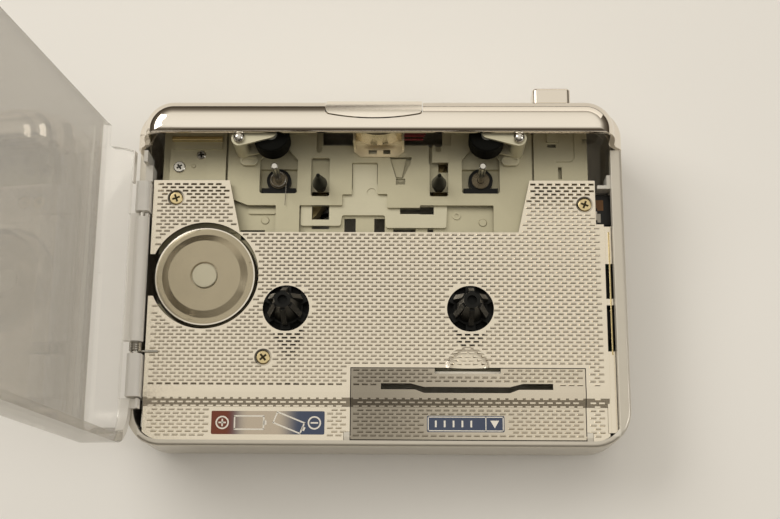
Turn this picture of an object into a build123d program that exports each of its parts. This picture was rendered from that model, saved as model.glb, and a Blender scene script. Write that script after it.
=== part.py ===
import os
from math import asin, atan2, cos, degrees, hypot, pi, radians, sin

from build123d import *

# Case, in millimetres: X right, Y towards the chrome bar, Z up from the back face
body_x = 114.0
body_y = 80.0
bar_corner_r = 7.0
foot_corner_r = 8.5
wall = 1.5
back_wall = 1.2
back_round = 5.0
seam_z = 9.0
rim_z = 20.0
rim_side = 2.7
rim_foot = 1.4
rim_round = 0.9
hinge_rim_z = 17.0
running = 0.03
gap = 0.3

# Chrome bar along the far long side
bar_z = 28.5
bar_wall = 1.3
bar_round = 5.0
bar_depth = 8.6
bar_cheek = 10.2
bar_sill_z = 12.0
bar_end_in = 2.1
bar_shoulder = 3.0
lip_drop = 2.1
lip_round = 1.6

# Deck plate
deck_z = 18.0
deck_t = 0.8
deck_left = 3.7
deck_right = 4.5
deck_foot = 1.6
deck_bay_half = 32.6
deck_bay_flare = 2.8
band_drop = 1.0
ridge_from_foot = 12.5
ridge_rise = 0.25
band_wide = 9.3

# Reels: the hub spacing is that of the compact cassette
hub_pitch = 42.5
hub_to_capstan = 31.8
hub_hole_r = 5.4
reel_post_r = 0.9
reel_disc_r = 8.5
spindle_tip_z = 27.0

# Battery bay for two AA cells in a row, and its door
cell_r = 7.25
cell_from_foot = 9.0
cell_z = 8.8
door_x0 = -6.0
door_x1 = 47.1
door_deep = 18.05
door_gap = 0.2
door_pin_r = 0.4
door_pivot_up = 0.6
notch_x0 = 13.0
notch_x1 = 28.0
notch_deep = 1.2
scoop_r = 5.0
scoop_deep = 1.2
slot_from_foot = 14.6
slot_w = 1.4
slot_x0 = 0.8
slot_x1 = 39.8
slot_dip = 0.8
bay_rib = 1.0

# Motor in the left of the deck
motor_from_hub = (-19.25, 7.8)
motor_r = 11.9
motor_hole_r = 12.7
motor_notch = 5.0
motor_z = 17.7
motor_rim_r = 10.0
motor_top_r = 8.4
motor_rise = 0.8
motor_foot_z = 5.6
motor_disc_r = 2.9
motor_groove = 0.35
crimp_angles = (15, 100, 192, 255)
pulley_r = 2.0

# Steel plates of the mechanism, one above the other
sheet = 0.8
upper_top_z = 16.0
slide_play = 0.1
chassis_left = -52.0
chassis_right = 49.6
chassis_far_in = 2.6
plate_half = 36.2
plate_foot = 15.2
side_plate_gap = 0.5

# Capstans, flywheels and belt
capstan_half = 24.05
capstan_from_bar = 16.2
capstan_r = 0.8
capstan_top_z = 26.0
flywheel_r = 11.5
flywheel_z0 = 6.2
flywheel_z1 = 11.2
belt_wheel_r = 9.0
belt_z = 4.0
belt_h = 1.3
belt_t = 0.6
belt_gap = 0.06
idler_from_motor = (-1.5, 11.7)
idler_r = 1.8
idler_post_r = 0.6
thrust_z = 3.2
housing_r = 2.9
guide_half = 14.1
guide_back = 1.45
guide_top_z = 24.0

# Pinch rollers
pivot_half = 32.4
pivot_ahead = 6.7
pivot_r = 0.9
roller_half = 25.2
roller_ahead = 8.1
roller_r = 4.2
roller_z0 = 19.0
roller_z1 = 25.2
arm_t = 0.8
roller_hub_r = 1.5
roller_pin_r = 0.8
pivot_head_r = 1.35

# Tape head and the slide that carries it
head_x = -0.15
head_half = 5.4
head_ahead = 7.7
head_depth = 4.9
head_z0 = 18.6
head_z1 = 25.6
head_travel = 5.5
stem_x0 = -6.4
stem_x1 = -0.6

# Lid of clear plastic, hinged on the left short side
lid_top_z = 31.0
lid_t = 1.9
lid_edge_y = 37.0
lid_wall_z = 20.3
lid_round = 2.6
lid_open = 96.0
axis_in = 1.7
axis_z = 19.5
barrel_r = 1.6
barrel_y0 = -16.3
barrel_y1 = 13.2
pin_r = 0.7
knuckle_t = 3.4
knuckle_up = 1.6
knuckles = ((14.6, 21.8), (-29.0, -19.2))

# Keys on the chrome bar
key_x0 = -12.2
key_x1 = 10.0
key_proud = 0.3
key_deep = 5.3
key_bow = 1.2
key_foot_z = 19.0
key_gap = 0.2
key_rock_room = 0.4
key_axis_in = 4.2
key_axis_z = 26.3
key_pin_r = 0.5
stop_x = 40.55
stop_z = 19.6
stop_half = 4.45
stop_high = 3.2
stop_corner_r = 1.1
stop_out = 4.4
stop_travel = 1.2
stop_flange = 0.7

# Controls and sockets on the right short side
jack_y = -1.85
jack_half = 4.0
jack_z = 12.0
jack_bore_r = 1.75
jack_nose_r = 2.8
jack_long = 13.0
power_y = -11.2
power_half = 3.4
power_long = 10.0
power_pin_r = 0.5
dial_y = -21.5
dial_r = 3.6
dial_z = 12.0
dial_h = 2.0
dial_out = 0.7
latch_y = 16.6
latch_half = 3.7
latch_z = 13.0
latch_travel = 2.0
hook_y = 16.0
hook_half = 2.0

# Board
board_z = 6.0
board_t = 1.0

half_x = body_x / 2
half_y = body_y / 2

# Places along the case, from the bar's side and from the foot's
capstan_y = half_y - capstan_from_bar
hub_y = capstan_y - hub_to_capstan
motor_x = -hub_pitch / 2 + motor_from_hub[0]
motor_y = hub_y + motor_from_hub[1]
idler_x = motor_x + idler_from_motor[0]
idler_y = motor_y + idler_from_motor[1]
guide_y = capstan_y - guide_back
pivot_y = capstan_y + pivot_ahead
roller_y = capstan_y + roller_ahead
head_front_y = capstan_y + head_ahead
deck_tab_y = capstan_y - 0.9
deck_bay_y = capstan_y - 13.6
plate_foot_y = capstan_y - plate_foot
chassis_y1 = half_y - chassis_far_in
key_front_y = half_y - key_deep
key_axis_y = half_y - key_axis_in
cell_y = -half_y + cell_from_foot
door_top_y = -half_y + door_deep
slot_y = -half_y + slot_from_foot
ridge_y = -half_y + ridge_from_foot
band_y = -half_y + band_wide
chassis_y0 = cell_y + cell_r + gap + bay_rib + 0.65

# Heights
axis_x = -half_x + axis_in
slide_z0 = upper_top_z - 2 * sheet - slide_play
base_z1 = slide_z0 - slide_play
base_z0 = base_z1 - sheet
upper_z0 = upper_top_z - sheet
band_z = deck_z - band_drop
bar_in_z = bar_z - bar_wall
door_foot_y = -half_y + deck_foot + 2 * door_gap
lid_in_z = lid_top_z - lid_t


def block(x0, x1, y0, y1, z0, z1):
    middle = Pos((x0 + x1) / 2, (y0 + y1) / 2, (z0 + z1) / 2)
    return middle * Box(x1 - x0, y1 - y0, z1 - z0)


def drum(x, y, r, z0, z1):
    return Pos(x, y, (z0 + z1) / 2) * Cylinder(r, z1 - z0)


def rod_x(y, z, r, x0, x1):
    return Pos((x0 + x1) / 2, y, z) * Rot(0, 90, 0) * Cylinder(r, x1 - x0)


def rod_y(x, z, r, y0, y1):
    return Pos(x, (y0 + y1) / 2, z) * Rot(90, 0, 0) * Cylinder(r, y1 - y0)


def slab(sketch, z0, z1):
    return Pos(0, 0, z0) * extrude(sketch, z1 - z0)


def prism(points, z0, z1):
    return slab(make_face(Polyline(*points, close=True)), z0, z1)


def along_x(face, x0, x1):
    return Pos(x0, 0, 0) * extrude(Plane.YZ * face, x1 - x0)


def wire_turn(r, wire):
    """One turn of round wire, drawn with a six-sided section."""
    return revolve(Plane.XZ * Pos(r, 0) * RegularPolygon(wire, 6), Axis.Z)


def case_plan(inset):
    outline = Rectangle(body_x - 2 * inset, body_y - 2 * inset)
    outline = fillet(outline.vertices().group_by(Axis.Y)[-1], bar_corner_r - inset)
    feet = [v for v in outline.vertices() if v.Y < -half_y + inset + 0.01]
    return fillet(feet, foot_corner_r - inset)


def mirrored(solid):
    return solid.mirror(Plane.YZ)


def cheek_line(shift):
    """Side view of the bar's front: an S from the rim up to the lip, then the lip's round edge."""
    foot = half_y - bar_cheek - shift
    lip_y = half_y - bar_depth - shift
    lip_z = bar_z + shift - lip_round
    rise = Spline(
        (foot, rim_z), (foot + 0.7, rim_z + 3.4), (lip_y, lip_z),
        tangents=((0.1, 1), (0.05, 1)),
    )
    turn = lip_round * (1 - sin(radians(45)))
    crown = (lip_y + lip_round, lip_z + lip_round)
    edge = ThreePointArc((lip_y, lip_z), (lip_y + turn, crown[1] - turn), crown)
    return rise, edge


def cheek_cut(shift, top):
    """All that lies in front of the bar's front, seen from the side, up to a height."""
    rise, edge = cheek_line(shift)
    start, end = rise @ 0, edge @ 1
    far = start.X - 4
    around = Polyline(end, (end.X, top), (far, top), (far, start.Y), start)
    return along_x(make_face([rise, edge, around]), -half_x - 1, half_x + 1)


def bar_plan(inset, ends_in):
    """The bar seen from above: the case's line at its back, with its ends set in."""
    outline = Rectangle(body_x - 2 * (inset + ends_in), body_y - 2 * inset)
    return fillet(outline.vertices().group_by(Axis.Y)[-1], bar_corner_r - inset)


def bar_solid(inset):
    """The bar before it is hollowed, or its hollow: the ends rise from the case's sides in an S."""
    top_z = bar_z - inset
    shoulder_z = rim_z - 0.4 + bar_shoulder
    upper = slab(bar_plan(inset, bar_end_in), shoulder_z - 0.01, top_z)
    upper = fillet(upper.faces().sort_by(Axis.Z)[-1].edges(), bar_round - inset)
    foot_z = bar_sill_z - (1 if inset else 0)
    solid = upper + slab(bar_plan(inset, 0), foot_z, rim_z - 0.4)
    steps = 4
    for i in range(steps):
        low, high = (bar_end_in * (1 - cos(pi * (i + n) / steps)) / 2 for n in (0, 1))
        z0 = rim_z - 0.4 + bar_shoulder * i / steps
        sections = [Pos(0, 0, z0) * bar_plan(inset, low)]
        sections.append(Pos(0, 0, z0 + bar_shoulder / steps) * bar_plan(inset, high))
        solid += loft(sections, ruled=True)
    return solid


def save(name, shape):
    export_step(shape, f"parts/{name}.step")


# Case
def rear_shell():
    shell = slab(case_plan(0), 0, seam_z)
    shell = fillet(shell.faces().sort_by(Axis.Z)[0].edges(), back_round)
    hollow = slab(case_plan(wall), back_wall, seam_z + 1)
    hollow = fillet(hollow.faces().sort_by(Axis.Z)[0].edges(), back_round - wall)
    shell -= hollow
    for x, y in boss_places:
        shell += drum(x, y, boss_r, back_wall / 2, base_z0)
        shell -= drum(x, y, case_screw_r + running, -1, base_z0 + 1)
        shell -= drum(x, y, case_head_r + running, -1, case_head_h)
    rib_y = cell_y + cell_r + gap
    rib = block(rib_x0, bay_x1, rib_y, rib_y + bay_rib, back_wall / 2, deck_z - deck_t - gap)
    end_y = dial_y - volume_base_down - gap
    end = block(contact_x, contact_x + bay_rib, -half_y, end_y, back_wall / 2, band_z - deck_t - gap)
    return shell + rib + (end & slab(case_plan(wall + 1.3), 0, rim_z))


far_boss_y, near_boss_y = capstan_y + 9.2, cell_y + 12.5
boss_places = ((-49.5, far_boss_y), (46.5, far_boss_y), (45.5, near_boss_y), (-49.0, near_boss_y))
boss_r = 2.2
case_screw_r = 0.8
case_head_r = 1.7
case_head_h = 0.9
case_screw_long = 9.0
bay_x0 = -half_x + wall + 1.0
rib_x0 = -half_x + knuckle_t + gap
bay_x1 = 50.6
contact_x = bay_x1 + 0.1
volume_base_down = 2.8


def case_screws():
    screws = []
    for x, y in boss_places:
        head = drum(x, y, case_head_r, 0.1, case_head_h)
        screws.append(head + drum(x, y, case_screw_r, case_head_h, case_screw_long))
    return Compound(screws)


def rim_frame():
    ring = slab(case_plan(0), seam_z, rim_z)
    top = ring.faces().sort_by(Axis.Z)[-1]
    ring = fillet(top.edges(), rim_round)
    ring -= slab(case_plan(wall), seam_z - 1, deck_z - deck_t + gap)
    inner = block(-half_x + rim_side, half_x - rim_side, -half_y + rim_foot, half_y, seam_z, rim_z + 1)
    ring -= inner & slab(case_plan(rim_foot), seam_z, rim_z + 1)
    ring -= block(-half_x - 1, half_x + 1, half_y - bar_cheek, half_y + 1, bar_sill_z, rim_z + 1)
    ring -= block(-half_x - 1, -half_x + rim_side + 0.7, -half_y - 1, half_y, hinge_rim_z, rim_z + 1)
    ring -= side_openings()
    for x0 in (door_x0 - door_gap - ear_t, door_x1 + door_gap):
        ring += door_ear(x0)
    return ring


ear_t = 1.3


def door_ear(x0):
    """Bearing block for one of the door's pins, on the inside of the front rim."""
    y0 = -half_y + wall - 0.2
    ear = block(x0, x0 + ear_t, y0, door_pivot_y + 1.0, band_z - 2.4, band_z + 0.2)
    return ear - rod_x(door_pivot_y, door_pivot_z, door_pin_r + running, x0 - 1, x0 + ear_t + 1)


door_pivot_y = door_foot_y + door_pivot_up
door_pivot_z = band_z - deck_t / 2


def side_openings():
    x0, x1 = half_x - 2 * rim_side, half_x + 1
    cuts = rod_x(jack_y, jack_z, jack_nose_r + running, x0, x1)
    cuts += rod_x(power_y, jack_z, jack_nose_r + running, x0, x1)
    reach = dial_r + gap
    cuts += block(x0, x1, dial_y - reach, dial_y + reach, dial_z - gap, dial_z + dial_h + gap)
    thumb_y0 = latch_y - thumb_half - latch_travel - gap
    cuts += block(x0, x1, thumb_y0, latch_y + thumb_half + gap, latch_z - 1.3, latch_z + 1.3)
    return cuts


thumb_half = 2.6


def top_bar():
    bar = bar_solid(0) - bar_solid(bar_wall)
    bar &= block(-half_x, half_x, half_y - bar_cheek, half_y, bar_sill_z, bar_z)
    bar -= bar_mouth()
    bar -= key_window(key_gap, key_rock_room)
    for x0 in (key_x0 - 2.0, key_x1 + 0.6):
        ear = block(x0, x0 + 1.4, key_axis_y - 1.0, key_axis_y + 1.0, key_axis_z - 1.0, bar_in_z + 0.1)
        bar += ear - rod_x(key_axis_y, key_axis_z, key_pin_r + running, x0 - 1, x0 + 2)
    return bar - stop_pill(key_gap, half_y - 2 * bar_wall, half_y + 1)


def bar_mouth():
    """What is open at the bar's front: the room under the lip, and all before the S at its ends."""
    far = half_y - bar_cheek - 1
    lip_y = half_y - bar_depth + bar_wall
    side = half_x - bar_end_in - bar_wall
    mouth = block(-side, side, far, lip_y, bar_sill_z - 1, bar_z - lip_drop)
    mouth += block(-half_x + bar_wall, half_x - bar_wall, far, lip_y, bar_sill_z - 1, rim_z)
    return mouth + cheek_cut(0, bar_z + 1)


def key_window(clear, room):
    """The block of space that the long key fills, grown by a clearance, with room to rock at its foot."""
    foot_z = key_foot_z - clear - room
    x0, x1 = key_x0 - clear, key_x1 + clear
    side_y, front_y, far = key_front_y + key_bow - clear, key_front_y - clear, half_y + 2
    bow = ThreePointArc((x0, side_y), ((x0 + x1) / 2, front_y), (x1, side_y))
    around = Polyline((x1, side_y), (x1, far), (x0, far), (x0, side_y))
    plan = make_face([bow, around])
    plan = fillet(plan.vertices().group_by(Axis.Y)[0], 1.0)
    return slab(plan, foot_z, bar_z + 2)


def play_key():
    outer = slab(case_plan(-key_proud), bar_sill_z, bar_z + key_proud)
    outer = fillet(outer.faces().sort_by(Axis.Z)[-1].edges(), bar_round + key_proud)
    inner = slab(case_plan(bar_wall), bar_sill_z - 1, bar_z - bar_wall)
    inner = fillet(inner.faces().sort_by(Axis.Z)[-1].edges(), bar_round - bar_wall)
    key = (outer - inner) & key_window(0, 0)
    for x0 in (key_x0, key_x1 - 1.2):
        ear_y = key_front_y + key_bow + gap
        key += block(x0, x0 + 1.2, key_axis_y - 0.8, key_axis_y + 0.8, key_axis_z - 0.8, bar_in_z - 0.4)
        key += block(x0, x0 + 1.2, ear_y, key_axis_y + 1.6, key_axis_z, bar_in_z + 0.1)
    for x0, x1 in ((key_x0 - 1.9, key_x0 + 0.5), (key_x1 - 0.5, key_x1 + 1.9)):
        key += rod_x(key_axis_y, key_axis_z, key_pin_r, x0, x1)
    return key


def stop_room():
    """The space that the pressed button's flange needs in the plates behind it."""
    reach = stop_half + stop_flange + gap
    y0 = half_y - bar_wall - 1.5 - stop_travel - gap
    return block(stop_x - reach, stop_x + reach, y0, half_y, base_z0 - 1, upper_top_z + 1)


def stop_pill(grown, y0, y1):
    """Rounded oblong that the stop button shows from behind the bar, grown all round by a size."""
    half, high = stop_half + grown, stop_high + grown
    pill = block(stop_x - half, stop_x + half, y0, y1, stop_z - high, stop_z + high)
    return fillet(pill.edges().filter_by(Axis.Y), stop_corner_r + grown)


def stop_button():
    cap = stop_pill(0, half_y - bar_wall - 1.5, half_y + stop_out)
    cap = fillet(cap.faces().sort_by(Axis.Y)[-1].edges(), 0.7)
    flange_y = half_y - bar_wall - gap
    return cap + stop_pill(stop_flange, flange_y - 1.0, flange_y)


# Deck
def sheet_profile(y0, y1):
    """Side view of the pressed sheet that the deck and the battery door share."""
    top = [
        (y1, deck_z), (ridge_y + 1.8, deck_z), (ridge_y, deck_z + ridge_rise),
        (ridge_y - 1.2, deck_z), (band_y, band_z), (y0, band_z),
    ]
    under = [(y, z - deck_t) for y, z in reversed(top)]
    return make_face(Polyline(*top, *under, close=True))


def deck_outline():
    left, right = -half_x + deck_left, half_x - deck_right
    bay, flare = deck_bay_half, deck_bay_half + deck_bay_flare
    return make_face(Polyline(
        (left, -half_y), (right, -half_y), (right, latch_bay_y), (latch_bay_x, latch_bay_y),
        (latch_bay_x, deck_tab_y), (flare, deck_tab_y), (bay, deck_bay_y), (-bay, deck_bay_y),
        (-flare, deck_tab_y), (left, deck_tab_y), close=True,
    ))


latch_bay_x = half_x - 6.3
latch_bay_y = 12.2
deck_screw_places = ((-47.9, capstan_y - 5.3), (48.2, capstan_y - 6.8), (-26.2, chassis_y0 + 2.3))
deck_screw_r = 0.8
deck_head_r = 1.6
deck_head_h = 0.6
cup_r = 1.75
cup_t = 0.3
cup_deep = 0.55
cup_floor_z = deck_z - cup_deep


def scoop_ball(r):
    middle_z = deck_z + (scoop_r**2 - scoop_deep**2) / (2 * scoop_deep)
    return Pos((notch_x0 + notch_x1) / 2, door_top_y, middle_z) * Sphere(r)


def deck_plate():
    deck = along_x(sheet_profile(-half_y, deck_tab_y), -half_x, half_x)
    deck &= slab(deck_outline(), band_z - 2, deck_z + 1)
    deck &= slab(case_plan(deck_foot), band_z - 2, deck_z + 1)
    ball_r = (scoop_r**2 + scoop_deep**2) / (2 * scoop_deep)
    scoop_x = (notch_x0 + notch_x1) / 2
    cup = drum(scoop_x, door_top_y, scoop_r + deck_t, deck_z - 3, deck_z - deck_t / 2)
    dish = scoop_ball(ball_r + deck_t) & cup
    deck = deck + dish - scoop_ball(ball_r)
    for side in (-1, 1):
        deck -= drum(side * hub_pitch / 2, hub_y, hub_hole_r, band_z - 2, deck_z + 1)
    deck -= drum(motor_x, motor_y, motor_hole_r, band_z - 2, deck_z + 1)
    deck -= block(-half_x, motor_x, motor_y - motor_notch, motor_y + motor_notch, band_z - 2, deck_z + 1)
    for x, y in deck_screw_places:
        deck += drum(x, y, cup_r + cup_t, cup_floor_z - deck_t, deck_z - deck_t / 2)
        deck -= drum(x, y, cup_r, cup_floor_z, deck_z + 1)
        deck -= drum(x, y, deck_screw_r + 0.1, band_z - 2, deck_z + 1)
    room_x = (door_x0 - door_gap, door_x1 + door_gap)
    deck -= block(*room_x, -half_y, door_top_y + door_gap, band_z - 4, deck_z + 1)
    for x0 in (door_x0 - door_gap - ear_t, door_x1 + door_gap):
        notch = (x0 - 0.1, x0 + ear_t + 0.1, -half_y, door_pivot_y + 1.1)
        deck -= block(*notch, band_z - 2, deck_z)
    return deck


def battery_door():
    door = along_x(sheet_profile(door_foot_y, door_top_y), door_x0, door_x1)
    door -= block(notch_x0, notch_x1, door_top_y - notch_deep, door_top_y + 1, deck_z - 2, deck_z + 1)
    door -= door_slot()
    for x0, x1 in ((door_x0 - 1.1, door_x0 + 0.5), (door_x1 - 0.5, door_x1 + 1.1)):
        door += rod_x(door_pivot_y, door_pivot_z, door_pin_r, x0, x1)
    return door


def door_slot():
    """The long slot that frees the door's springy edge, dipping in its middle."""
    middle = (slot_x0 + slot_x1) / 2
    third = (slot_x1 - slot_x0) / 4
    y1, y0 = slot_y, slot_y - slot_w
    points = (
        (slot_x0, y1), (slot_x0, y0), (middle - third - 2, y0), (middle - third, y0 - slot_dip),
        (middle + third, y0 - slot_dip), (middle + third + 2, y0), (slot_x1, y0), (slot_x1, y1),
        (middle + third + 3, y1), (middle + third, y1 - slot_dip), (middle - third, y1 - slot_dip),
        (middle - third - 3, y1),
    )
    return prism(points, deck_z - 3, deck_z + 1)


def deck_screws():
    screws = []
    for x, y in deck_screw_places:
        head = drum(x, y, deck_head_r, cup_floor_z, cup_floor_z + deck_head_h)
        head = fillet(head.faces().sort_by(Axis.Z)[-1].edges(), 0.35)
        screws.append(head + drum(x, y, deck_screw_r, base_z1, cup_floor_z))
    return Compound(screws)


# Lid
def lid_closed():
    outline = Rectangle(body_x, body_y)
    feet = outline.vertices().group_by(Axis.Y)[0]
    outline = fillet(feet, foot_corner_r)
    outer = slab(outline, lid_wall_z, lid_top_z)
    outer &= block(-half_x, half_x, -half_y, lid_edge_y, lid_wall_z, lid_top_z)
    crown = outer.faces().sort_by(Axis.Z)[-1]
    outer = fillet([e for e in crown.edges() if e.center().Y < lid_edge_y - 0.01], lid_round)
    hollow = slab(offset(outline, -lid_t), lid_wall_z - 1, lid_in_z)
    hollow = fillet(hollow.faces().sort_by(Axis.Z)[-1].edges(), lid_round - lid_t + 0.3)
    hollow += block(-half_x + lid_t, half_x - lid_t, 0, half_y, lid_wall_z - 1, lid_in_z)
    lid = outer - hollow
    hem_y = (-half_y + foot_corner_r, half_y - bar_cheek - gap)
    hem = block(-half_x, -half_x + lid_t, *hem_y, axis_z - 1.3, lid_wall_z)
    lid += hem
    lid -= lid_notches()
    lid += rod_y(axis_x, axis_z, barrel_r, barrel_y0, barrel_y1)
    lid -= rod_y(axis_x, axis_z, pin_r + running, -half_y, half_y)
    return lid + lid_hook()


def lid_notches():
    rise, edge = cheek_line(gap + 0.1)
    start, end = rise @ 0, edge @ 1
    far = half_y + 1
    around = Polyline(end, (far, end.Y), (far, start.Y - 3), (start.X, start.Y - 3), start)
    cuts = along_x(make_face([rise, edge, around]), -half_x - 1, half_x + 1)
    for y0, y1 in (*knuckles, (barrel_y0 - spring_room, barrel_y0)):
        cuts += block(-half_x - 1, -half_x + 4, y0 - gap, y1 + gap, axis_z - 3, axis_z + knuckle_t)
    cuts += block(-half_x - 1, -half_x + 4, knuckles[0][1], half_y, axis_z - 3, axis_z + 2.6)
    return cuts


spring_room = 2.7


def lid_hook():
    """The catch that drops into the latch bay, with a nose near its end and a web to the lid's wall."""
    x0, x1 = half_x - 4.8, half_x - 3.4
    stem = block(x0, x1, hook_y - hook_half, hook_y + hook_half, hook_foot_z, lid_in_z + 0.1)
    nose = block(x0 - 0.7, x0, hook_y - hook_half, hook_y + hook_half, hook_foot_z, hook_foot_z + 0.9)
    web = block(x1, half_x - lid_t + 0.1, hook_y - 0.6, hook_y + 0.6, rim_z + 2.5, lid_in_z + 0.1)
    return stem + nose + web


hook_foot_z = 15.2


def opened(shape):
    """Turns what hangs on the lid from closed to its open rest."""
    there = Pos(axis_x, 0, axis_z)
    return there * Rot(0, -lid_open, 0) * there.inverse() * shape


def hinge_blocks():
    blocks = []
    for y0, y1 in knuckles:
        x1 = -half_x + knuckle_t
        body = block(-half_x, x1, y0, y1, hinge_rim_z, axis_z + knuckle_up)
        tops = [e for e in body.edges().filter_by(Axis.Y) if e.center().Z > axis_z]
        body = fillet(tops, 1.2)
        body += block(-half_x + wall, x1, y0, y1, deck_z - 4, hinge_rim_z)
        blocks.append(body - rod_y(axis_x, axis_z, pin_r + running, pin_y0 - gap, pin_y1 + gap))
    return Compound(blocks)


pin_grip = 3.0
pin_y0 = knuckles[1][1] - pin_grip
pin_y1 = knuckles[0][0] + pin_grip


def hinge_pin():
    return rod_y(axis_x, axis_z, pin_r, pin_y0, pin_y1)


def lid_spring():
    """Torsion spring round the pin: close turns with one leg over the deck."""
    wire = 0.3
    turns = 4
    pitch = 1.7 * wire
    y = barrel_y0 - 0.45
    coil = None
    for i in range(turns):
        turn = Pos(axis_x, y - pitch * i, axis_z) * Rot(90, 0, 0) * wire_turn(pin_r + wire + 0.15, wire)
        coil = turn if coil is None else coil + turn
    leg_y = y - pitch * (turns - 1)
    leg_z = deck_z + wire
    return coil + rod_x(leg_y, leg_z, wire, axis_x + 0.2, axis_x + 5.0)


def hinge_bracket():
    """White guide beside the bar at the hinge side."""
    x0 = -half_x + wall + 0.2
    y0 = knuckles[0][1] + 0.6
    foot = block(x0, x0 + 1.7, y0, y0 + 4.0, deck_z - 4.5, deck_z + 0.6)
    return foot + block(x0, x0 + 0.9, y0 + 4.0, y0 + 6.8, deck_z - 4.5, rim_z + 1.4)


# Steel plates
def base_chassis():
    plate = block(chassis_left, chassis_right, chassis_y0, chassis_y1, base_z0, base_z1)
    plate = fillet(plate.edges().filter_by(Axis.Z), 2.0)
    plate -= drum(motor_x, motor_y, motor_r + gap, base_z0 - 1, base_z1 + 1)
    plate -= block(chassis_left - 1, motor_x, motor_y - 6, motor_y + 6, base_z0 - 1, base_z1 + 1)
    jack_x = half_x - jack_long - 1.0
    jacks_y = (power_y - power_half - gap, jack_y + jack_half + gap)
    plate -= block(jack_x, chassis_right + 1, *jacks_y, base_z0 - 1, base_z1 + 1)
    for side in (-1, 1):
        plate = bearing_tray(plate, side * capstan_half)
        x = side * guide_half
        plate -= block(x - 2.1, x + 2.1, guide_y - 3.2, guide_y - 1.1, base_z0 - 1, base_z1 + 1)
    for x0, x1, back, ahead in (*slide_windows, *spring_slots, guide_notch, lead_slot):
        plate -= block(x0, x1, capstan_y + back, capstan_y + ahead, base_z0 - 1, base_z1 + 1)
    for x, y in boss_places:
        plate -= drum(x, y, case_screw_r + 0.1, base_z0 - 1, base_z1 + 1)
    plate -= stop_room()
    for x, y in spacer_places:
        plate += drum(x, capstan_y + y, spacer_r, base_z1, upper_z0)
    for x, y in deck_screw_places:
        plate += drum(x, y, post_r, base_z1, cup_floor_z - deck_t)
        plate -= drum(x, y, deck_screw_r + running, base_z0 - 1, deck_z)
    return plate + pressed_marks()


def bearing_tray(plate, x):
    """Window round a capstan's bearing, with a sunk tray below it that holds the housing."""
    window = (x - tray_half, x + tray_half, capstan_y - 4.4, capstan_y + 3.1)
    plate -= block(*window, base_z0 - 1, base_z1 + 1)
    rim = tray_half + 1
    tray = block(x - rim, x + rim, capstan_y - 5.4, capstan_y + 4.1, tray_z - sheet, base_z0)
    return plate + tray - block(*window, tray_z, base_z0 + 1) - drum(x, capstan_y, sleeve_r + 0.1, 0, 20)


tray_half = 4.4
tray_z = base_z0 - 0.4
guide_notch = (14.0, 16.3, 2.3, 4.6)


def pressed_marks():
    """Raised marks in the sheet beside the slide: two dimples, a rivet's ring, a lip, a tongue."""
    marks = Pos(24.5, capstan_y - 10.2, base_z1) * Cone(dimple_r, dimple_r - 0.3, 0.5)
    marks += Pos(-27.1, capstan_y - 9.7, base_z1) * Cone(dimple_r, dimple_r - 0.3, 0.5)
    marks += drum(18.3, capstan_y - 8.5, 0.95, base_z1 - 0.1, base_z1 + 0.3)
    marks -= drum(18.3, capstan_y - 8.5, 0.5, base_z1, base_z1 + 1)
    lip = block(-31.2, -24.6, capstan_y - 8.2, capstan_y - 6.9, base_z1 - 0.1, base_z1 + 0.5)
    marks += fillet(lip.edges().filter_by(Axis.Z).group_by(Axis.Y)[0], 0.5)
    tongue = ((2.6, 5.4), (6.3, 5.4), (5.3, 0.8), (4.0, 0.8))
    return marks + prism([(x, capstan_y + y) for x, y in tongue], base_z1 - 0.1, upper_z0 - 0.1)


dimple_r = 1.15


slide_windows = ((-16.0, -11.9, -11.8, -6.0), (4.9, 12.9, -8.8, -5.8))
spring_slots = (
    (-32.8, -27.1, -14.6, -12.1), (-8.3, -5.6, -12.9, -9.2), (-1.2, 1.3, -12.9, -9.2),
    (3.3, 8.6, -15.2, -11.8), (11.4, 12.8, -15.2, -11.8),
)
lead_slot = (-14.0, 15.0, 8.8, 14.2)
spacer_places = (
    (-34.4, -11.8), (34.4, -11.8), (-33.6, 11.2), (33.6, 11.2), (-22.0, -11.3), (29.5, -11.3),
)
spacer_r = 1.2
post_r = 1.9


def upper_chassis():
    """Main sheet of the mechanism; its outline follows the slide that runs under it."""
    z0, z1 = upper_z0 - 1, upper_top_z + 1
    outline = make_face(Polyline(*upper_outline(), close=True))
    plate = slab(fillet(outline.vertices(), 0.25), upper_z0, upper_top_z)
    for side in (-1, 1):
        plate -= capstan_window(side * capstan_half, z0, z1)
        x = side * guide_half
        slot = block(x - 2.2, x + 2.2, capstan_y - 4.2, capstan_y + 5.4, z0, z1)
        plate -= fillet(slot.edges().filter_by(Axis.Z), 0.5)
    slots = [roller_slot(x, z0, z1) for x in roller_slots]
    plate = plate - slots[0] - slots[1] + (slot_tab() - slots[1])
    plate -= block(*notch_by_tab, capstan_y + 3.9, capstan_y + 8.5, z0, z1)
    plate -= block(-13.6, 17.0, capstan_y + 8.5, half_y, z0, z1)
    bay_y = tie_y - head_travel - 2 * gap
    plate -= block(head_x - 5.5, head_x + 5.5, bay_y, half_y, z0, z1)
    funnel = ((2.4, 5.6), (7.6, 5.6), (7.4, 4.0), (5.6, 0.3), (3.9, 0.3))
    plate -= prism([(x, capstan_y + y) for x, y in funnel], z0, z1)
    plate -= block(3.9, 6.1, capstan_y - 1.3, capstan_y + 0.2, z0, z1)
    for x, y in pivot_places():
        plate -= drum(x, y, pivot_r + running, z0, z1)
    for x0, x1 in ((-32.0, -17.2), (18.2, 30.6)):
        plate += block(x0, x1, chassis_y1 - 2.2, chassis_y1 - 1.6, upper_z0, upper_top_z + 2.4)
    return plate - stop_room()


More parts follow.
